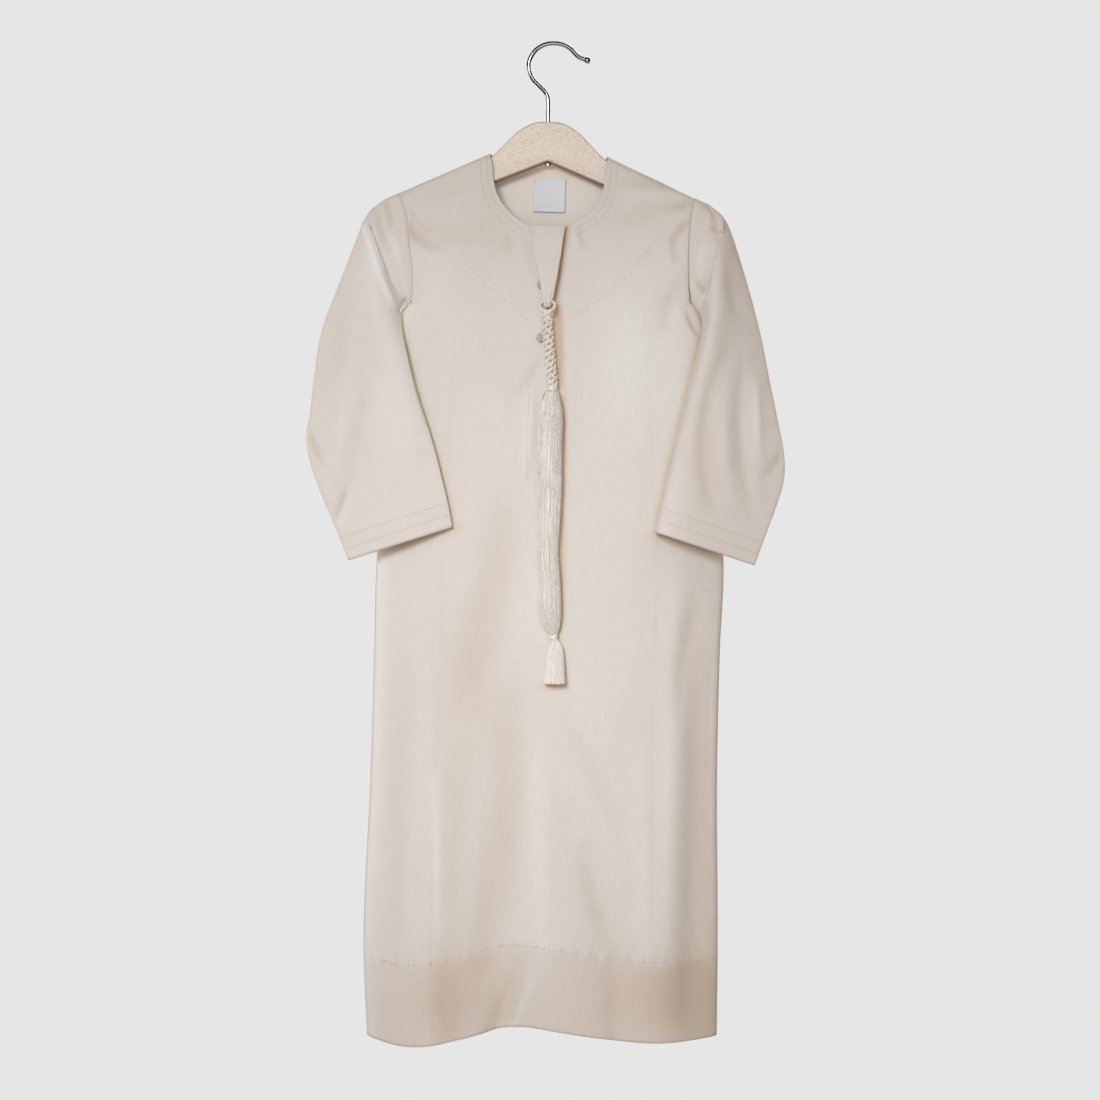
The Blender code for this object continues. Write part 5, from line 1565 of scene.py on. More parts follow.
yoke_stitches = []
for line, bar_spacing in ((YOKE_LEFT, 0.75), (YOKE_RIGHT, 1.5)):
    points, sideways, keys = band_frame(line)
    for offset in (-BAND_HALF_WIDTH, BAND_HALF_WIDTH):
        edge = (points + sideways * offset)[keys > LINES_FROM][::4]
        yoke_stitches += stitch_line(front_surface, edge, pitch=1.7, length=1.9, radius=0.2)
    yoke_stitches += satin_bars(line, *BARS_SPAN, 2.8, bar_spacing)
    yoke_stitches += diamond(line, LATTICE_AT, 8.5, 4.6, lattice=True)
    for middle in np.arange(SMALL_DIAMONDS_FROM, keys[-1] - 4.0, SMALL_DIAMOND_PITCH):
        yoke_stitches += diamond(line, middle, 1.7, 1.1, lattice=False)
sew("yoke_embroidery", yoke_stitches, satin_thread)

# %% [markdown]
# ## Cords and threads
# The rope, the tassel's threads and the button windings are all long thin tubes. This helper sweeps
# a small polygon along a path without twisting it, and joins as many tubes as are wanted into one
# mesh, with closed ends.

# %% Sweep tubes along paths
def tube_mesh(name, paths, radii, sides, core=None):
    """Tubes along paths, as one mesh; a core is a stack of rings that stands inside them."""
    points = []
    faces = []
    for path, radius in zip(paths, radii):
        path = np.asarray(path, float)
        heading = headings(path)
        helper = np.array((0.0, 1.0, 0.0)) if abs(heading[0, 1]) < 0.8 else np.array((1.0, 0, 0))
        side = np.cross(heading[0], helper)
        thickness = np.broadcast_to(radius, len(path))
        faces += tube_faces(len(points), len(path), sides)
        for i, middle in enumerate(path):
            side = side - heading[i] * np.dot(side, heading[i])
            side = side / np.linalg.norm(side)
            top = np.cross(heading[i], side)
            for k in range(sides):
                a = math.tau * k / sides
                points.append(middle + thickness[i] * (side * math.cos(a) + top * math.sin(a)))
    if core is not None:
        faces += tube_faces(len(points), *core.shape[:2])
        points += list(core.reshape(-1, 3))
    return solid_mesh(name, points, faces)


def full_turn(count):
    """Angles round a circle, with both ends of the turn."""
    return np.linspace(0.0, math.tau, count)


# %% Silk material
silk = make_thread("tassel_silk", (0.895, 0.853, 0.805), (0.74, 0.672, 0.60), 0.36, 0.25, 2.2)
print("silk nodes:", len(silk.node_tree.nodes))

# %% [markdown]
# ## The rope
# The tassel hangs on a rope of three strands laid round each other. Each strand is itself twisted
# from three silky yarns, the opposite way round, which keeps a real rope from unwinding. The
# strands rise to the right, so their turn grows as they go up.

# %% Lay the rope's strands
ROPE_TOP_Z = -242.5
ROPE_BOTTOM_Z = -301.2
ROPE_RADIUS = 5.15
ROPE_STRANDS = 3
ROPE_STRAND_PITCH = 4.9
ROPE_PATH = ((-236, -6.8), (-262, -5.4), (-282, -3.6), (-306, -1.8), (-330, -2.6))
TASSEL_REST = 0.5
STRAND_OFFSET = 2.75
YARNS_IN_STRAND = 3
YARN_OFFSET = 1.22
YARN_RADIUS = 1.14
YARN_LAY = 9.0    # height in which a yarn turns once round its strand

rope_x = smooth_curve(("z", "x"), ROPE_PATH, "x")


def rope_centre(z):
    x = rope_x(z)
    return np.stack([x, outside_front(x, z) - TASSEL_REST - ROPE_RADIUS, z], axis=-1)


levels = np.linspace(ROPE_BOTTOM_Z - 0.4, ROPE_TOP_Z + 1.5, 150)
middle = rope_centre(levels)
rope_paths = []
for strand in range(ROPE_STRANDS):
    phase = math.tau * (strand / ROPE_STRANDS + levels / (ROPE_STRAND_PITCH * ROPE_STRANDS))
    outward = np.stack([np.cos(phase), np.sin(phase), np.zeros_like(phase)], axis=1)
    centre = middle + outward * STRAND_OFFSET
    across = np.cross(headings(centre), outward)
    for yarn in range(YARNS_IN_STRAND):
        turn = (math.tau * (yarn / YARNS_IN_STRAND - levels / YARN_LAY))[:, None]
        rope_paths.append(centre + YARN_OFFSET * (outward * np.cos(turn) + across * np.sin(turn)))
rope_mesh = tube_mesh("rope_strands", rope_paths, [YARN_RADIUS] * len(rope_paths), 10)
rope = add_piece("rope_strands", rope_mesh, silk)
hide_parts("tassel_rope")
print("rope yarns:", len(rope_paths), "faces:", len(rope_mesh.polygons))

# %% [markdown]
# Light hardly reaches the hollows between the strands. A number at each point says how deep it
# lies, and the thread's material grows darker with it.

# %% Shade the hollows of the rope
def store_shade(mesh, shade):
    store(mesh, "shade", as_share(shade))


places = read_points(rope_mesh) / MM
reach = np.linalg.norm((places - rope_centre(places[:, 2]))[:, :2], axis=1)
store_shade(rope_mesh, (ROPE_RADIUS - 0.75 - reach) / 1.3)
print("rope's reach:", round(float(reach.min()), 1), "to", round(float(reach.max()), 1), "mm")

# %% [markdown]
# ## The loop and its knot
# The rope's end is turned back into a loop that holds the tab's gathered tip. The loop is a pair
# of cords twisted round each other. Three thicker turns and two arms that cross in front of them
# make the small knot below it.

# %% Bend the loop
LOOP_HALF_WIDTH = 6.4
LOOP_TOP_Z = -226.8
LOOP_BOTTOM_Z = -237.0
LOOP_CORD_OFFSET = 0.72
LOOP_TWISTS = 9.0
KNOT_TURNS = ((4.5, 0, -238.4), (4.3, 1, -240.6), (4, -0.6, -242.6))    # size, drop, z
KNOT_ARM_X = (5.8, -3)
KNOT_ARM_Z = (-234.6, -242.4)

knot = rope_centre(np.array(ROPE_TOP_Z))
tab_y = float(outside_front(SLIT_X, LOOP_TOP_Z)) - TAB_SECTIONS[-1][-1] - TAB_WALL / 2.0
angle = full_turn(73)
loop_line = np.stack([
    knot[0] + 0.2 + LOOP_HALF_WIDTH * np.sin(angle),
    tab_y + 0.6 - 2.8 * np.cos(angle),
    mix(LOOP_BOTTOM_Z, LOOP_TOP_Z, (1.0 - np.cos(angle)) / 2.0)], axis=1)
loop_paths = []
for k in range(2):
    phase = LOOP_TWISTS * angle + math.pi * k
    wobble = np.stack([np.sin(angle) * np.cos(phase), np.sin(phase),
                       -np.cos(angle) * np.cos(phase)], axis=1)
    loop_paths.append(loop_line + LOOP_CORD_OFFSET * wobble)
turn = full_turn(41)
for k, (size, drop, height) in enumerate(KNOT_TURNS):
    loop_paths.append(np.stack([
        knot[0] + size * np.cos(turn),
        knot[1] - 0.8 + size * 0.82 * np.sin(turn),
        height + (1.1 + 0.3 * k) * np.sin(turn + 0.9 + 1.9 * k) + drop * 0.2], axis=1))
cross = np.linspace(0.0, 1.0, 24)
for side in (-1, 1):
    loop_paths.append(np.stack([
        knot[0] + side * mix(*KNOT_ARM_X, cross),
        knot[1] - 4.2 - 1.4 * np.sin(math.pi * cross) - 0.5 * side,
        mix(*KNOT_ARM_Z, cross)], axis=1))
loop_mesh = tube_mesh("loop_cord", loop_paths, [0.85, 0.85, 1.3, 1.35, 1.3, 1.15, 1.15], 8)
loop = add_piece("loop_cord", loop_mesh, silk)
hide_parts("tassel_loop")
print("knot at:", np.round(knot, 1))

# %% [markdown]
# ## Binding, long threads and tuft
# Below the rope a few turns of thread bind the head of a long bundle. Its threads hang some 210 mm,
# are tied in a small knot, and end in a short tuft with level cut ends. Tubes of three or six sides
# are enough for threads this fine; a slim core behind them keeps light from shining through.

# %% Wind the binding
HEAD_TOP_Z = -305.6
BINDING_RADIUS = 4.6
BINDING_THREAD = 0.5
BINDING_TURNS = 5.0
BINDING_MIDDLE_Z = -303.4

binding_x = float(rope_x(BINDING_MIDDLE_Z))
binding_y = (float(outside_front(binding_x, BINDING_MIDDLE_Z))
             - TASSEL_REST - BINDING_RADIUS)
binding_z = np.linspace(ROPE_BOTTOM_Z - 0.1, HEAD_TOP_Z + 0.1, 150)
turn = math.tau * BINDING_TURNS * np.linspace(0.0, 1.0, 150)
winding = BINDING_RADIUS - BINDING_THREAD
binding_path = np.stack([binding_x + winding * np.cos(turn), binding_y + winding * np.sin(turn),
                         binding_z], axis=1)
core_path = np.stack([np.full(6, binding_x), np.full(6, binding_y),
                      np.linspace(ROPE_BOTTOM_Z + 1.0, HEAD_TOP_Z - 1.5, 6)], axis=1)
tail = np.linspace(0.0, 1.0, 20)
tail_path = np.stack([binding_x - winding - 4.4 * tail - 1.2 * np.sin(3.0 * tail),
                      binding_y - 2.0 + 4.5 * tail, -304.0 - 8.6 * tail ** 1.4], axis=1)
binding_mesh = tube_mesh("binding_thread", (binding_path, core_path, tail_path),
                         (BINDING_THREAD, winding - 0.3, 0.45), 10)
binding = add_piece("binding_thread", binding_mesh, silk)
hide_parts("tassel_binding")
print("turns of the binding:", BINDING_TURNS)

# %% Bundle sizes
BUNDLE_COLUMNS = ("z", "centre", "half_width", "half_depth")
SKIRT_SECTIONS = (
    (-306, -1.8, 5, 4.4),
    (-309, -2, 6, 5),
    (-315, -2.4, 7.8, 5.8),
    (-330, -2.8, 9.8, 6.4),
    (-357, -4.2, 10.4, 6.2),
    (-393, -4.3, 10.5, 6.2),
    (-420, -5, 9.8, 6),
    (-446, -5.7, 9, 6),
    (-472, -4, 9, 5.8),
    (-498, -4, 9.6, 5.8),
    (-508, -3.2, 8.2, 5),
    (-515, -1.7, 5, 3.8),
    (-518, -1.2, 2.8, 2.8),
)
TUFT_SECTIONS = (
    (-522, 0, 3.2, 3),
    (-525.5, 0.5, 4.9, 3.8),
    (-531, 0.6, 6.7, 4.4),
    (-545, 0.3, 8.1, 5.4),
    (-560, 0, 9.2, 6.6),
)
KNOT_X = -1.0
KNOT_Z = -519.8
KNOT_RADIUS = 4.3
print("widest place of the tassel:", 2.0 * max(row[2] for row in SKIRT_SECTIONS), "mm")


def bundle(sections, z):
    values = [smooth_curve(BUNDLE_COLUMNS, sections, n)(z) for n in BUNDLE_COLUMNS[1:]]
    centre, half_width, half_depth = values
    y = outside_front(centre, z) - TASSEL_REST - half_depth
    return centre, y, half_width, half_depth


# %% Crimp the threads
CRIMP = 0.30          # how far a thread swings in its small waves
CRIMP_LENGTH = 4.4    # from one small wave to the next
CORE_SIZE = 0.945     # the core fills the bundle up to this share of its width
CORE_RINGS = 30
CORE_SIDES = 16
SKIRT_BOTTOM_Z = -518.6

rng = np.random.default_rng(7)


def hang_threads(sections, count, steps, top, bottom, uneven):
    """Threads laid round a bundle's surface, each with its own soft waves and small crimps."""
    paths = []
    for i in range(count):
        start = math.tau * (i + rng.uniform(-0.4, 0.4)) / count
        z = np.linspace(top, bottom + uneven * rng.uniform(-1.0, 1.0), steps)
        x, y, half_width, half_depth = bundle(sections, z)
        drift = rng.uniform(-0.3, 0.3) * np.sin(math.pi * np.linspace(0.0, 1.0, steps))
        crimp = math.tau * z / (CRIMP_LENGTH * rng.uniform(0.8, 1.3)) + rng.uniform(0.0, 6.28)
        sway = 0.45 * np.sin(z / rng.uniform(5.0, 9.0) + rng.uniform(0.0, 6.28))
        angle = start + drift + (sway + CRIMP * np.sin(crimp)) / half_width
        sunk = rng.uniform(0.0, 0.7) + 0.2 * np.cos(crimp)
        paths.append(np.stack([x + (half_width - sunk) * np.cos(angle),
                               y + (half_depth - sunk) * np.sin(angle), z], axis=1))
    return paths


# %% Fill the bundle and shade it
def bundle_core(sections, top, bottom):
    """A plain body inside the threads, so that no light shines through them."""
    z = np.linspace(top, bottom, CORE_RINGS)[:, None]
    x, y, half_width, half_depth = bundle(sections, z)
    angle = full_turn(CORE_SIDES + 1)[:-1][None, :]
    return np.stack([x + CORE_SIZE * half_width * np.cos(angle),
                     y + CORE_SIZE * half_depth * np.sin(angle), z + 0.0 * angle], axis=2)


def shade_bundle(mesh, sections, tied_z):
    """Deeper threads are darker, and so is the core behind them."""
    places = read_points(mesh) / MM
    x, y, half_width, half_depth = bundle(sections, places[:, 2])
    reach = np.hypot((places[:, 0] - x) / half_width, (places[:, 1] - y) / half_depth)
    loose = as_share((tied_z - places[:, 2]) / 2.0)
    store_shade(mesh, (0.98 - reach) / 0.28 * loose)


# %% Hang the long threads
skirt_paths = hang_threads(SKIRT_SECTIONS, 230, 130, HEAD_TOP_Z - 0.4, SKIRT_BOTTOM_Z, 0.3)
skirt_mesh = tube_mesh("skirt_threads", skirt_paths, [0.36] * len(skirt_paths), 3,
                       bundle_core(SKIRT_SECTIONS, HEAD_TOP_Z - 0.9, SKIRT_BOTTOM_Z + 0.6))
shade_bundle(skirt_mesh, SKIRT_SECTIONS, HEAD_TOP_Z)
skirt = add_piece("skirt_threads", skirt_mesh, silk)
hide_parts("tassel_skirt")
print("long threads:", len(skirt_paths))

# %% Tie the knot and hang the tuft
TUFT_TOP_Z = -521.0
TUFT_BOTTOM_Z = -559.8
KNOT_FLATNESS = 0.86
KNOT_CORDS = ((0.62, 2.7), (-0.66, 2.8), (0.05, 2.9))    # tilt and size of each

tuft_paths = hang_threads(TUFT_SECTIONS, 200, 34, TUFT_TOP_Z, TUFT_BOTTOM_Z, 0.35)
knot_y = float(outside_front(KNOT_X, KNOT_Z)) - TASSEL_REST - KNOT_RADIUS * KNOT_FLATNESS
turn = full_turn(37)
knot_paths = [
    np.stack([KNOT_X + size * np.cos(turn), knot_y + size * KNOT_FLATNESS * np.sin(turn),
              KNOT_Z + 2.9 * tilt * np.cos(turn) + 1.2 * tilt], axis=1)
    for tilt, size in KNOT_CORDS]
tuft_mesh = tube_mesh("tuft_threads", tuft_paths + knot_paths,
                      [0.34] * len(tuft_paths) + [1.35] * len(knot_paths), 6,
                      bundle_core(TUFT_SECTIONS, TUFT_TOP_Z - 0.5, TUFT_BOTTOM_Z + 0.6))
shade_bundle(tuft_mesh, TUFT_SECTIONS, TUFT_TOP_Z - 2.0)
tuft = add_piece("tuft_threads", tuft_mesh, silk)
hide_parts("tassel_tuft")
print("short threads:", len(tuft_paths))

# %% [markdown]
# ## Buttons
# The two buttons are small balls wound with thread, in a duller brown than the cloth. A core ball
# is covered by turns of thread that all pass over its top, like wool round a ball.

# %% Wind the buttons
BUTTON_HALF = np.array((3.2, 2.2, 3.8))
BUTTON_THREAD = 0.3
BUTTON_WINDINGS = 18
BUTTON_PLACES = {"upper_button_winding": (-12.2, -213.0, "button_upper"),
                 "lower_button_winding": (-12.6, -259.8, "button_lower")}
button_thread = make_thread("button_thread", (0.60, 0.52, 0.44), (0.48, 0.405, 0.335), 0.6, 0.1)


def ball_ring(turn, tall):
    """A ring of a ball of radius 1, at one angle down from its top."""
    return np.stack([np.sin(tall) * np.cos(turn), np.sin(tall) * np.sin(turn),
                     np.cos(tall) + 0.0 * turn], axis=-1)


over_top = full_turn(29)
ball = ball_ring(full_turn(17)[None, :-1], np.linspace(0.06, math.pi - 0.06, 12)[:, None])
for name, (button_x, button_z, node_name) in BUTTON_PLACES.items():
    button_y = float(outside_front(button_x, button_z)) - 0.3 - BUTTON_HALF[1]
    centre = np.array((button_x, button_y, button_z))
    sizes = BUTTON_HALF - 0.28
    windings = []
    for lean in math.pi * np.arange(BUTTON_WINDINGS) / BUTTON_WINDINGS:
        ring = np.stack([np.cos(over_top) * math.cos(lean), np.cos(over_top) * math.sin(lean),
                         np.sin(over_top)], axis=1)
        windings.append(centre + ring * sizes)
    mesh = tube_mesh(name, windings, [BUTTON_THREAD] * len(windings), 6,
                     centre + ball * (sizes - 0.05))
    button = add_piece(name, mesh, button_thread)
    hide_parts(node_name)
print("buttons:", sorted(BUTTON_PLACES))

# %% [markdown]
# ## The label
# A plain white satin square is sewn inside the back, with a narrow turned edge. It carries no
# lettering. Satin is woven with long floating threads, so it has fine level lines and a soft gloss.

# %% Label material and piece
LABEL_SIZE = (28.4, 29.6)
LABEL_CENTRE = (-4.4, -130.6)
LABEL_TURN = math.radians(-2.0)
LABEL_WALL = 0.6
LABEL_HEM_HEIGHT = 0.18
LABEL_HEM_PLACE = 0.9    # how far in from the edge it is thickest
LABEL_HEM_WIDTH = 0.7


def make_satin():
    material, tree, shader = new_material("label_satin", (0.72, 0.74, 0.80), 0.42,
                                          Sheen_Weight=0.15, Specular_IOR_Level=0.5)
    threads = node(tree, "ShaderNodeUVMap", uv_map="weave").outputs["UV"]
    floats = stretched_noise(tree, threads, (260.0, 4200.0, 1.0), 2.0)
    wire(tree, mixed(tree, (0.88, 0.91, 0.97), (0.78, 0.81, 0.88), floats),
         shader.inputs["Base Color"])
    raised(tree, shader, floats, 0.00012)
    return material


v, u = np.meshgrid(np.linspace(0.5, -0.5, 27), np.linspace(-0.5, 0.5, 25), indexing="ij")
local_x = u * LABEL_SIZE[0]
local_z = v * LABEL_SIZE[1]
x = LABEL_CENTRE[0] + local_x * math.cos(LABEL_TURN) - local_z * math.sin(LABEL_TURN)
z = LABEL_CENTRE[1] + local_x * math.sin(LABEL_TURN) + local_z * math.cos(LABEL_TURN)
edge = np.minimum(0.5 - np.abs(u), 0.5 - np.abs(v)) * LABEL_SIZE[0]
swell = LABEL_HEM_HEIGHT * bell(edge - LABEL_HEM_PLACE, LABEL_HEM_WIDTH)
y = body_depth(x, z, BACK_FOLDS, BACK_TO_FRONT) - 0.3 - LABEL_WALL - swell
label_grid = np.stack([x, y, z], axis=2)
label_mesh = cloth_mesh("label_cloth", label_grid)
label = add_piece("label_cloth", label_mesh, make_satin())
add_shell(label, 0.35, 0.35, [])
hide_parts("label")
print("label:", label_grid.shape)

# %% [markdown]
# ## The wooden hanger
# The hanger is bent from pale beech. Its grain runs down each arm, so it meets in a chevron at the
# middle. The outline is a flat curve given thickness with rounded edges. The grain is long thin
# noise along each arm, with short dark pores. A darker band of painted shade runs along the
# underside, and the top edge is darker too.

# %% Cut the wood
HANGER_TILT = math.radians(1.0)
HANGER_PIVOT_Z = -85.0
WOOD_THICKNESS = 11.0
WOOD_EDGE = 2.4
HANGER_HALF_OUTLINE = (
    (0, -67.5), (10, -68.2), (17.7, -71), (27.5, -77.3), (34, -83.6), (40.5, -90.3),
    (48.4, -98.2), (52.5, -100.9), (60, -104.8), (80, -113.2), (100, -122.3),
    (114, -128.6), (119.6, -132.6), (120.8, -137), (118, -140.6), (112, -141.4),
    (96, -138.8), (72, -131.6), (48, -122.6), (28, -114.4), (12, -107.9),
    (0, -103),
)

half = walk_along(HANGER_HALF_OUTLINE, 1.6)
outline = np.concatenate([half, (half * (-1.0, 1.0))[::-1][1:-1]])
curve = bpy.data.curves.new("hanger_outline", "CURVE")
curve.dimensions = "2D"
curve.fill_mode = "BOTH"
curve.extrude = (WOOD_THICKNESS / 2.0 - WOOD_EDGE) * MM
curve.bevel_depth = WOOD_EDGE * MM
curve.bevel_resolution = 5
curve.offset = -WOOD_EDGE * MM
spline = curve.splines.new("POLY")
spline.points.add(len(outline) - 1)
for item, (out, height) in zip(spline.points, outline):
    item.co = (out * MM, (height - HANGER_PIVOT_Z) * MM, 0.0, 1.0)
spline.use_cyclic_u = True
raw = put_in_scene("hanger_outline", curve)
bpy.context.view_layer.update()
wood_mesh = bpy.data.meshes.new_from_object(
    raw.evaluated_get(bpy.context.evaluated_depsgraph_get()))
bpy.data.objects.remove(raw, do_unlink=True)
wood_mesh.name = "beech_wood"
face_outwards(wood_mesh, 0.00001)
print("wood faces:", len(wood_mesh.polygons))

# %% [markdown]
# The mesh still lies flat, with the stem's line at its middle. Before it is stood up, each point
# gets its place along the grain, so that the material can follow both arms.

# %% Store the grain and stand the wood up
places = read_points(wood_mesh) / MM
# painted shade: points that face down, on the underside, are painted darker brown; points that face
# up, along the top edge, are darker too
facing_up = read_points(wood_mesh, "normal")[:, 1]
painted_underside_and_top_edge = np.where(facing_up < 0.0, as_share(-facing_up * 1.6),
                np.clip(facing_up * 2.4 - 1.1, 0.0, 0.75))
store(wood_mesh, "painted_underside_and_top_edge", painted_underside_and_top_edge)
grain = wood_mesh.attributes.new("grain", "FLOAT_VECTOR", "POINT")
grain.data.foreach_set("vector", (places * MM).astype(np.float32).ravel())
cosine, sine = math.cos(HANGER_TILT), math.sin(HANGER_TILT)
stood = np.stack([places[:, 0] * cosine + places[:, 1] * sine + CENTRE_X, -places[:, 2],
                  -places[:, 0] * sine + places[:, 1] * cosine + HANGER_PIVOT_Z], axis=1) * MM
wood_mesh.vertices.foreach_set("co", stood.astype(np.float32).ravel())
wood_mesh.update()
wood_mesh.shade_smooth()
print("wood stands from", round(float(stood[:, 2].min()), 3), "to",
      round(float(stood[:, 2].max()), 3), "m")

# %% Beech material
ARM_SLOPE = math.radians(19.5)
BOARD_SHIFT = 0.02    # keeps the two boards' rings from meeting as mirror images


def make_beech():
    """Two boards meet at the middle, and each one's grain follows its own arm."""
    material, tree, shader = new_material("pale_beech", (0.80, 0.70, 0.59), 0.5,
                                          Specular_IOR_Level=0.35, Coat_Weight=0.08,
                                          Coat_Roughness=0.35)
    parts = axes_of(tree, stored(tree, "grain", "Vector"))
    out = maths(tree, "ABSOLUTE", parts["X"])
    up = parts["Y"]
    along = scaled(tree, out, math.cos(ARM_SLOPE),
                   maths(tree, "MULTIPLY", up, -math.sin(ARM_SLOPE)))
    across = scaled(tree, out, math.sin(ARM_SLOPE),
                    maths(tree, "MULTIPLY", up, math.cos(ARM_SLOPE)))
    across = scaled(tree, maths(tree, "SIGN", parts["X"]), BOARD_SHIFT, across)
    spot = node(tree, "ShaderNodeCombineXYZ")
    for value, axis in ((along, "X"), (across, "Y"), (parts["Z"], "Z")):
        wire(tree, value, spot.inputs[axis])
    rings = stretched_noise(tree, spot.outputs[0], (8.0, 210.0, 160.0), 2.0)
    flecks = stretched_noise(tree, spot.outputs[0], (260.0, 1500.0, 900.0), 1.0)
    dashes = maths(tree, "MULTIPLY", maths(tree, "SUBTRACT", flecks, 0.49), 5.0)
    dashes = limited(tree, dashes, 0.5)
    tone = scaled(tree, rings, 0.45, maths(tree, "ADD", dashes, -0.24))
    board = mixed(tree, (0.89, 0.82, 0.745), (0.61, 0.47, 0.35), tone)
    # the darker brown of the underside's painted shade and of the top edge
    wire(tree, mixed(tree, board, (0.40, 0.25, 0.155), stored(tree, "painted_underside_and_top_edge")),
         shader.inputs["Base Color"])
    raised(tree, shader, scaled(tree, dashes, -0.5, rings), 0.0001)
    return material


wood = add_piece("beech_hanger", wood_mesh, make_beech())
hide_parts("hanger_wood")
print("beech nodes:", len(wood_mesh.materials[0].node_tree.nodes))

# %% [markdown]
# ## The wire hook
# The hook is nickel-plated wire, bent to a round crook that ends in a small rounded bead. A tube
# swept along a smooth line makes it, and its radius at each point draws the bead.

# %% Bend the hook
WIRE_DIAMETER = 3.8
STEM_BOTTOM_Z = -105.6
HOOK_CENTRELINE = (
    (-5.7, -64), (-5.7, -47.5), (-7.4, -42), (-12.6, -36.2), (-18.4, -30.3), (-21.7, -24),
    (-22.7, -17.6), (-21.2, -11), (-16.4, -4), (-8.6, 0.7), (0, 1.9), (8.4, 0.4),
    (14.8, -3.6), (18.6, -7.8), (22, -10.6), (26.4, -12.2),
)
TIP_SWELL = ((1.42, 1.6), (1.55, 3), (1.30, 4.4), (0.70, 5.4))

nickel, tree, shader = new_material("dark_nickel", (0.6, 0.59, 0.58), 0.14, Metallic=1.0)
scuff = stretched_noise(tree, node(tree, "ShaderNodeTexCoord").outputs["Object"],
                        (90, 90, 60), 2)
wire(tree, mixed(tree, (0.50, 0.49, 0.48), (0.40, 0.39, 0.38), scuff), shader.inputs["Base Color"])
wire(tree, scaled(tree, scuff, 0.06, 0.1), shader.inputs["Roughness"])

bend = walk_along(HOOK_CENTRELINE, 1.0)
route = [((CENTRE_X, STEM_BOTTOM_Z), 1.0), ((CENTRE_X, -80.0), 1.0)] + [(p, 1.0) for p in bend]
heading = (bend[-1] - bend[-2]) / np.linalg.norm(bend[-1] - bend[-2])
route += [(bend[-1] + heading * distance, swell) for swell, distance in TIP_SWELL]
hook_path = [(x, 0.0, z) for (x, z), _ in route]
hook_radii = np.array([swell for _, swell in route]) * WIRE_DIAMETER / 2.0
hook_mesh = tube_mesh("wire_hook", [hook_path], [hook_radii], 20)
hook = add_piece("wire_hook", hook_mesh, nickel)
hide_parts("hanger_hook")
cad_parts["hanger_nut"].data.materials.clear()
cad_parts["hanger_nut"].data.materials.append(nickel)
print("hook points:", len(hook_path))

# %% [markdown]
# ## Cloth sizes
# Each sheet of cloth is listed with the size it was cut to, and its area is printed as a share of
# that size. The shell modifier gives two faces to each sheet, so the area is measured on the outer
# face only.

def outer_area(grid, closed=False):
    rows = np.concatenate([grid, grid[:, :1]], axis=1) if closed else grid
    a = rows[1:, :-1] - rows[:-1, :-1]
    b = rows[:-1, 1:] - rows[:-1, :-1]
    c = rows[1:, :-1] - rows[1:, 1:]
    d = rows[:-1, 1:] - rows[1:, 1:]
    return float((np.linalg.norm(np.cross(a, b), axis=2)
                  + np.linalg.norm(np.cross(c, d), axis=2)).sum() / 2.0) * MM * MM


CLOTH_CUTS = (
    (front_panel, front_grid, False, (0.345, 0.80), ["beech_hanger"]),
    (back_panel, back_grid, False, (0.335, 0.80), ["beech_hanger"]),
    (left_sleeve, left_grid, True, (0.245, 0.345), ["front_panel_cloth"]),
    (right_sleeve, right_grid, True, (0.245, 0.345), ["front_panel_cloth"]),
    (neck_tab, tab_grid, False, (0.0325, 0.074), ["front_panel_cloth"]),
    (label, label_grid, False, (0.0286, 0.0299), ["back_panel_cloth"]),
)
for piece, grid, closed, flat, rests_on in CLOTH_CUTS:
    area = outer_area(grid, closed)
    share = area / (flat[0] * flat[1])
    print(piece.name, "area", round(area, 5), "m2, share of its rectangle", round(share, 2))

# %% [markdown]
# ## The studio
# The robe is lit by one large soft lamp from the upper left and by the pale room itself. A weak
# lamp in front softens the shadows, one at the left brightens that side's edges, and one behind
# lights the back. A pale round floor lies well below it.

# %% Lamps
MIDDLE = (0, 0, -0.40)
BELLY = (-0.02, 0, -0.54)


def add_lamp(name, kind, location, target, power, colour, **settings):
    data = bpy.data.lights.new(name, kind)
    data.energy = power
    data.color = colour
    for setting, value in settings.items():
        setattr(data, setting, value)
    lamp = put_in_scene(name, data)
    lamp.location = location
    aim = Vector(target) - Vector(location)
    lamp.rotation_euler = aim.to_track_quat("-Z", "Y").to_euler()
    return lamp


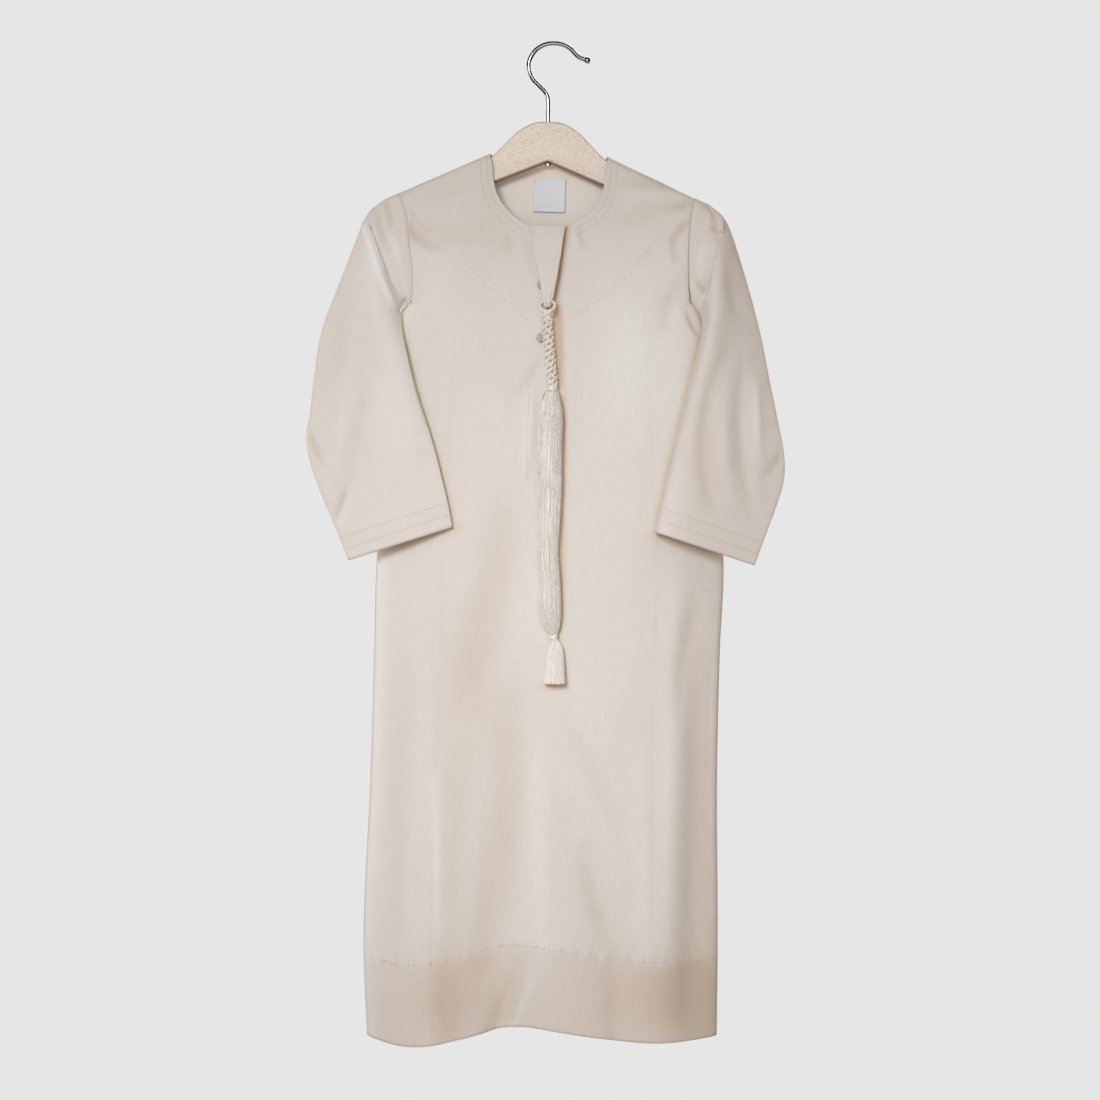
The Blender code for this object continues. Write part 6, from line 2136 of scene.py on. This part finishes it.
add_lamp("key_lamp", "SPOT", (-0.60, -2.32, 0.20), BELLY, 184.0, (0.93, 1.0, 1.075),
         shadow_soft_size=0.46, spot_size=math.radians(33.5), spot_blend=1.0)
add_lamp("front_fill", "AREA", (0.2, -2.7, -0.3), MIDDLE, 7.0, (1.0, 0.96, 0.92),
         shape="DISK", size=1.8)
add_lamp("left_lamp", "AREA", (-2.2, 0.7, -0.2), MIDDLE, 10.0, (0.90, 0.97, 1.08),
         shape="DISK", size=1.2)
add_lamp("back_lamp", "AREA", (0.6, 2.4, 0.9), MIDDLE, 40.0, (1.0, 0.99, 0.98),
         shape="DISK", size=1.6)
# a white screen behind the camera, seen only as a reflection in the wire and the wood's varnish
screen = add_lamp("white_screen", "AREA", (0.0, -3.4, -0.4), MIDDLE, 11.0, (1.0, 1.0, 1.0),
                  shape="RECTANGLE", size=2.4, size_y=3.0)
screen.visible_diffuse = False
print("lamps:", len(bpy.data.lights))

# %% Room and floor
BACKDROP_GREY = 0.791
DARK_CORNERS = 0.03    # what a shiny surface mirrors beside the screen
ROOM_LIGHT = (0.90, 0.735, 0.57)
ROOM_STRENGTH = 0.42
FLOOR_Z = -1.32

world = bpy.data.worlds.new("pale_room")
bpy.context.scene.world = world
world.use_nodes = True
room = world.node_tree
rays = node(room, "ShaderNodeLightPath").outputs
room.nodes["Background"].inputs["Color"].default_value = (*ROOM_LIGHT, 1.0)
room.nodes["Background"].inputs["Strength"].default_value = ROOM_STRENGTH
shown = room.nodes["Background"].outputs[0]
for kind, grey in (("Is Glossy Ray", DARK_CORNERS), ("Is Camera Ray", BACKDROP_GREY)):
    plain = node(room, "ShaderNodeBackground")
    plain.inputs["Color"].default_value = (grey, grey, grey, 1.0)
    choose = node(room, "ShaderNodeMixShader")
    for source, socket in zip((rays[kind], shown, plain.outputs[0]), choose.inputs):
        wire(room, source, socket)
    shown = choose.outputs[0]
wire(room, shown, room.nodes["World Output"].inputs["Surface"])
bpy.context.scene.view_settings.view_transform = "Standard"

bpy.ops.mesh.primitive_circle_add(vertices=96, radius=1.5, fill_type="NGON",
                                  location=(0.0, 0.0, FLOOR_Z))
floor = bpy.context.object
floor.name = "pale_floor"
floor_paint, _, _ = new_material("floor_paint", (0.78, 0.78, 0.78), 0.8)
floor.data.materials.append(floor_paint)
print("room nodes:", len(room.nodes))
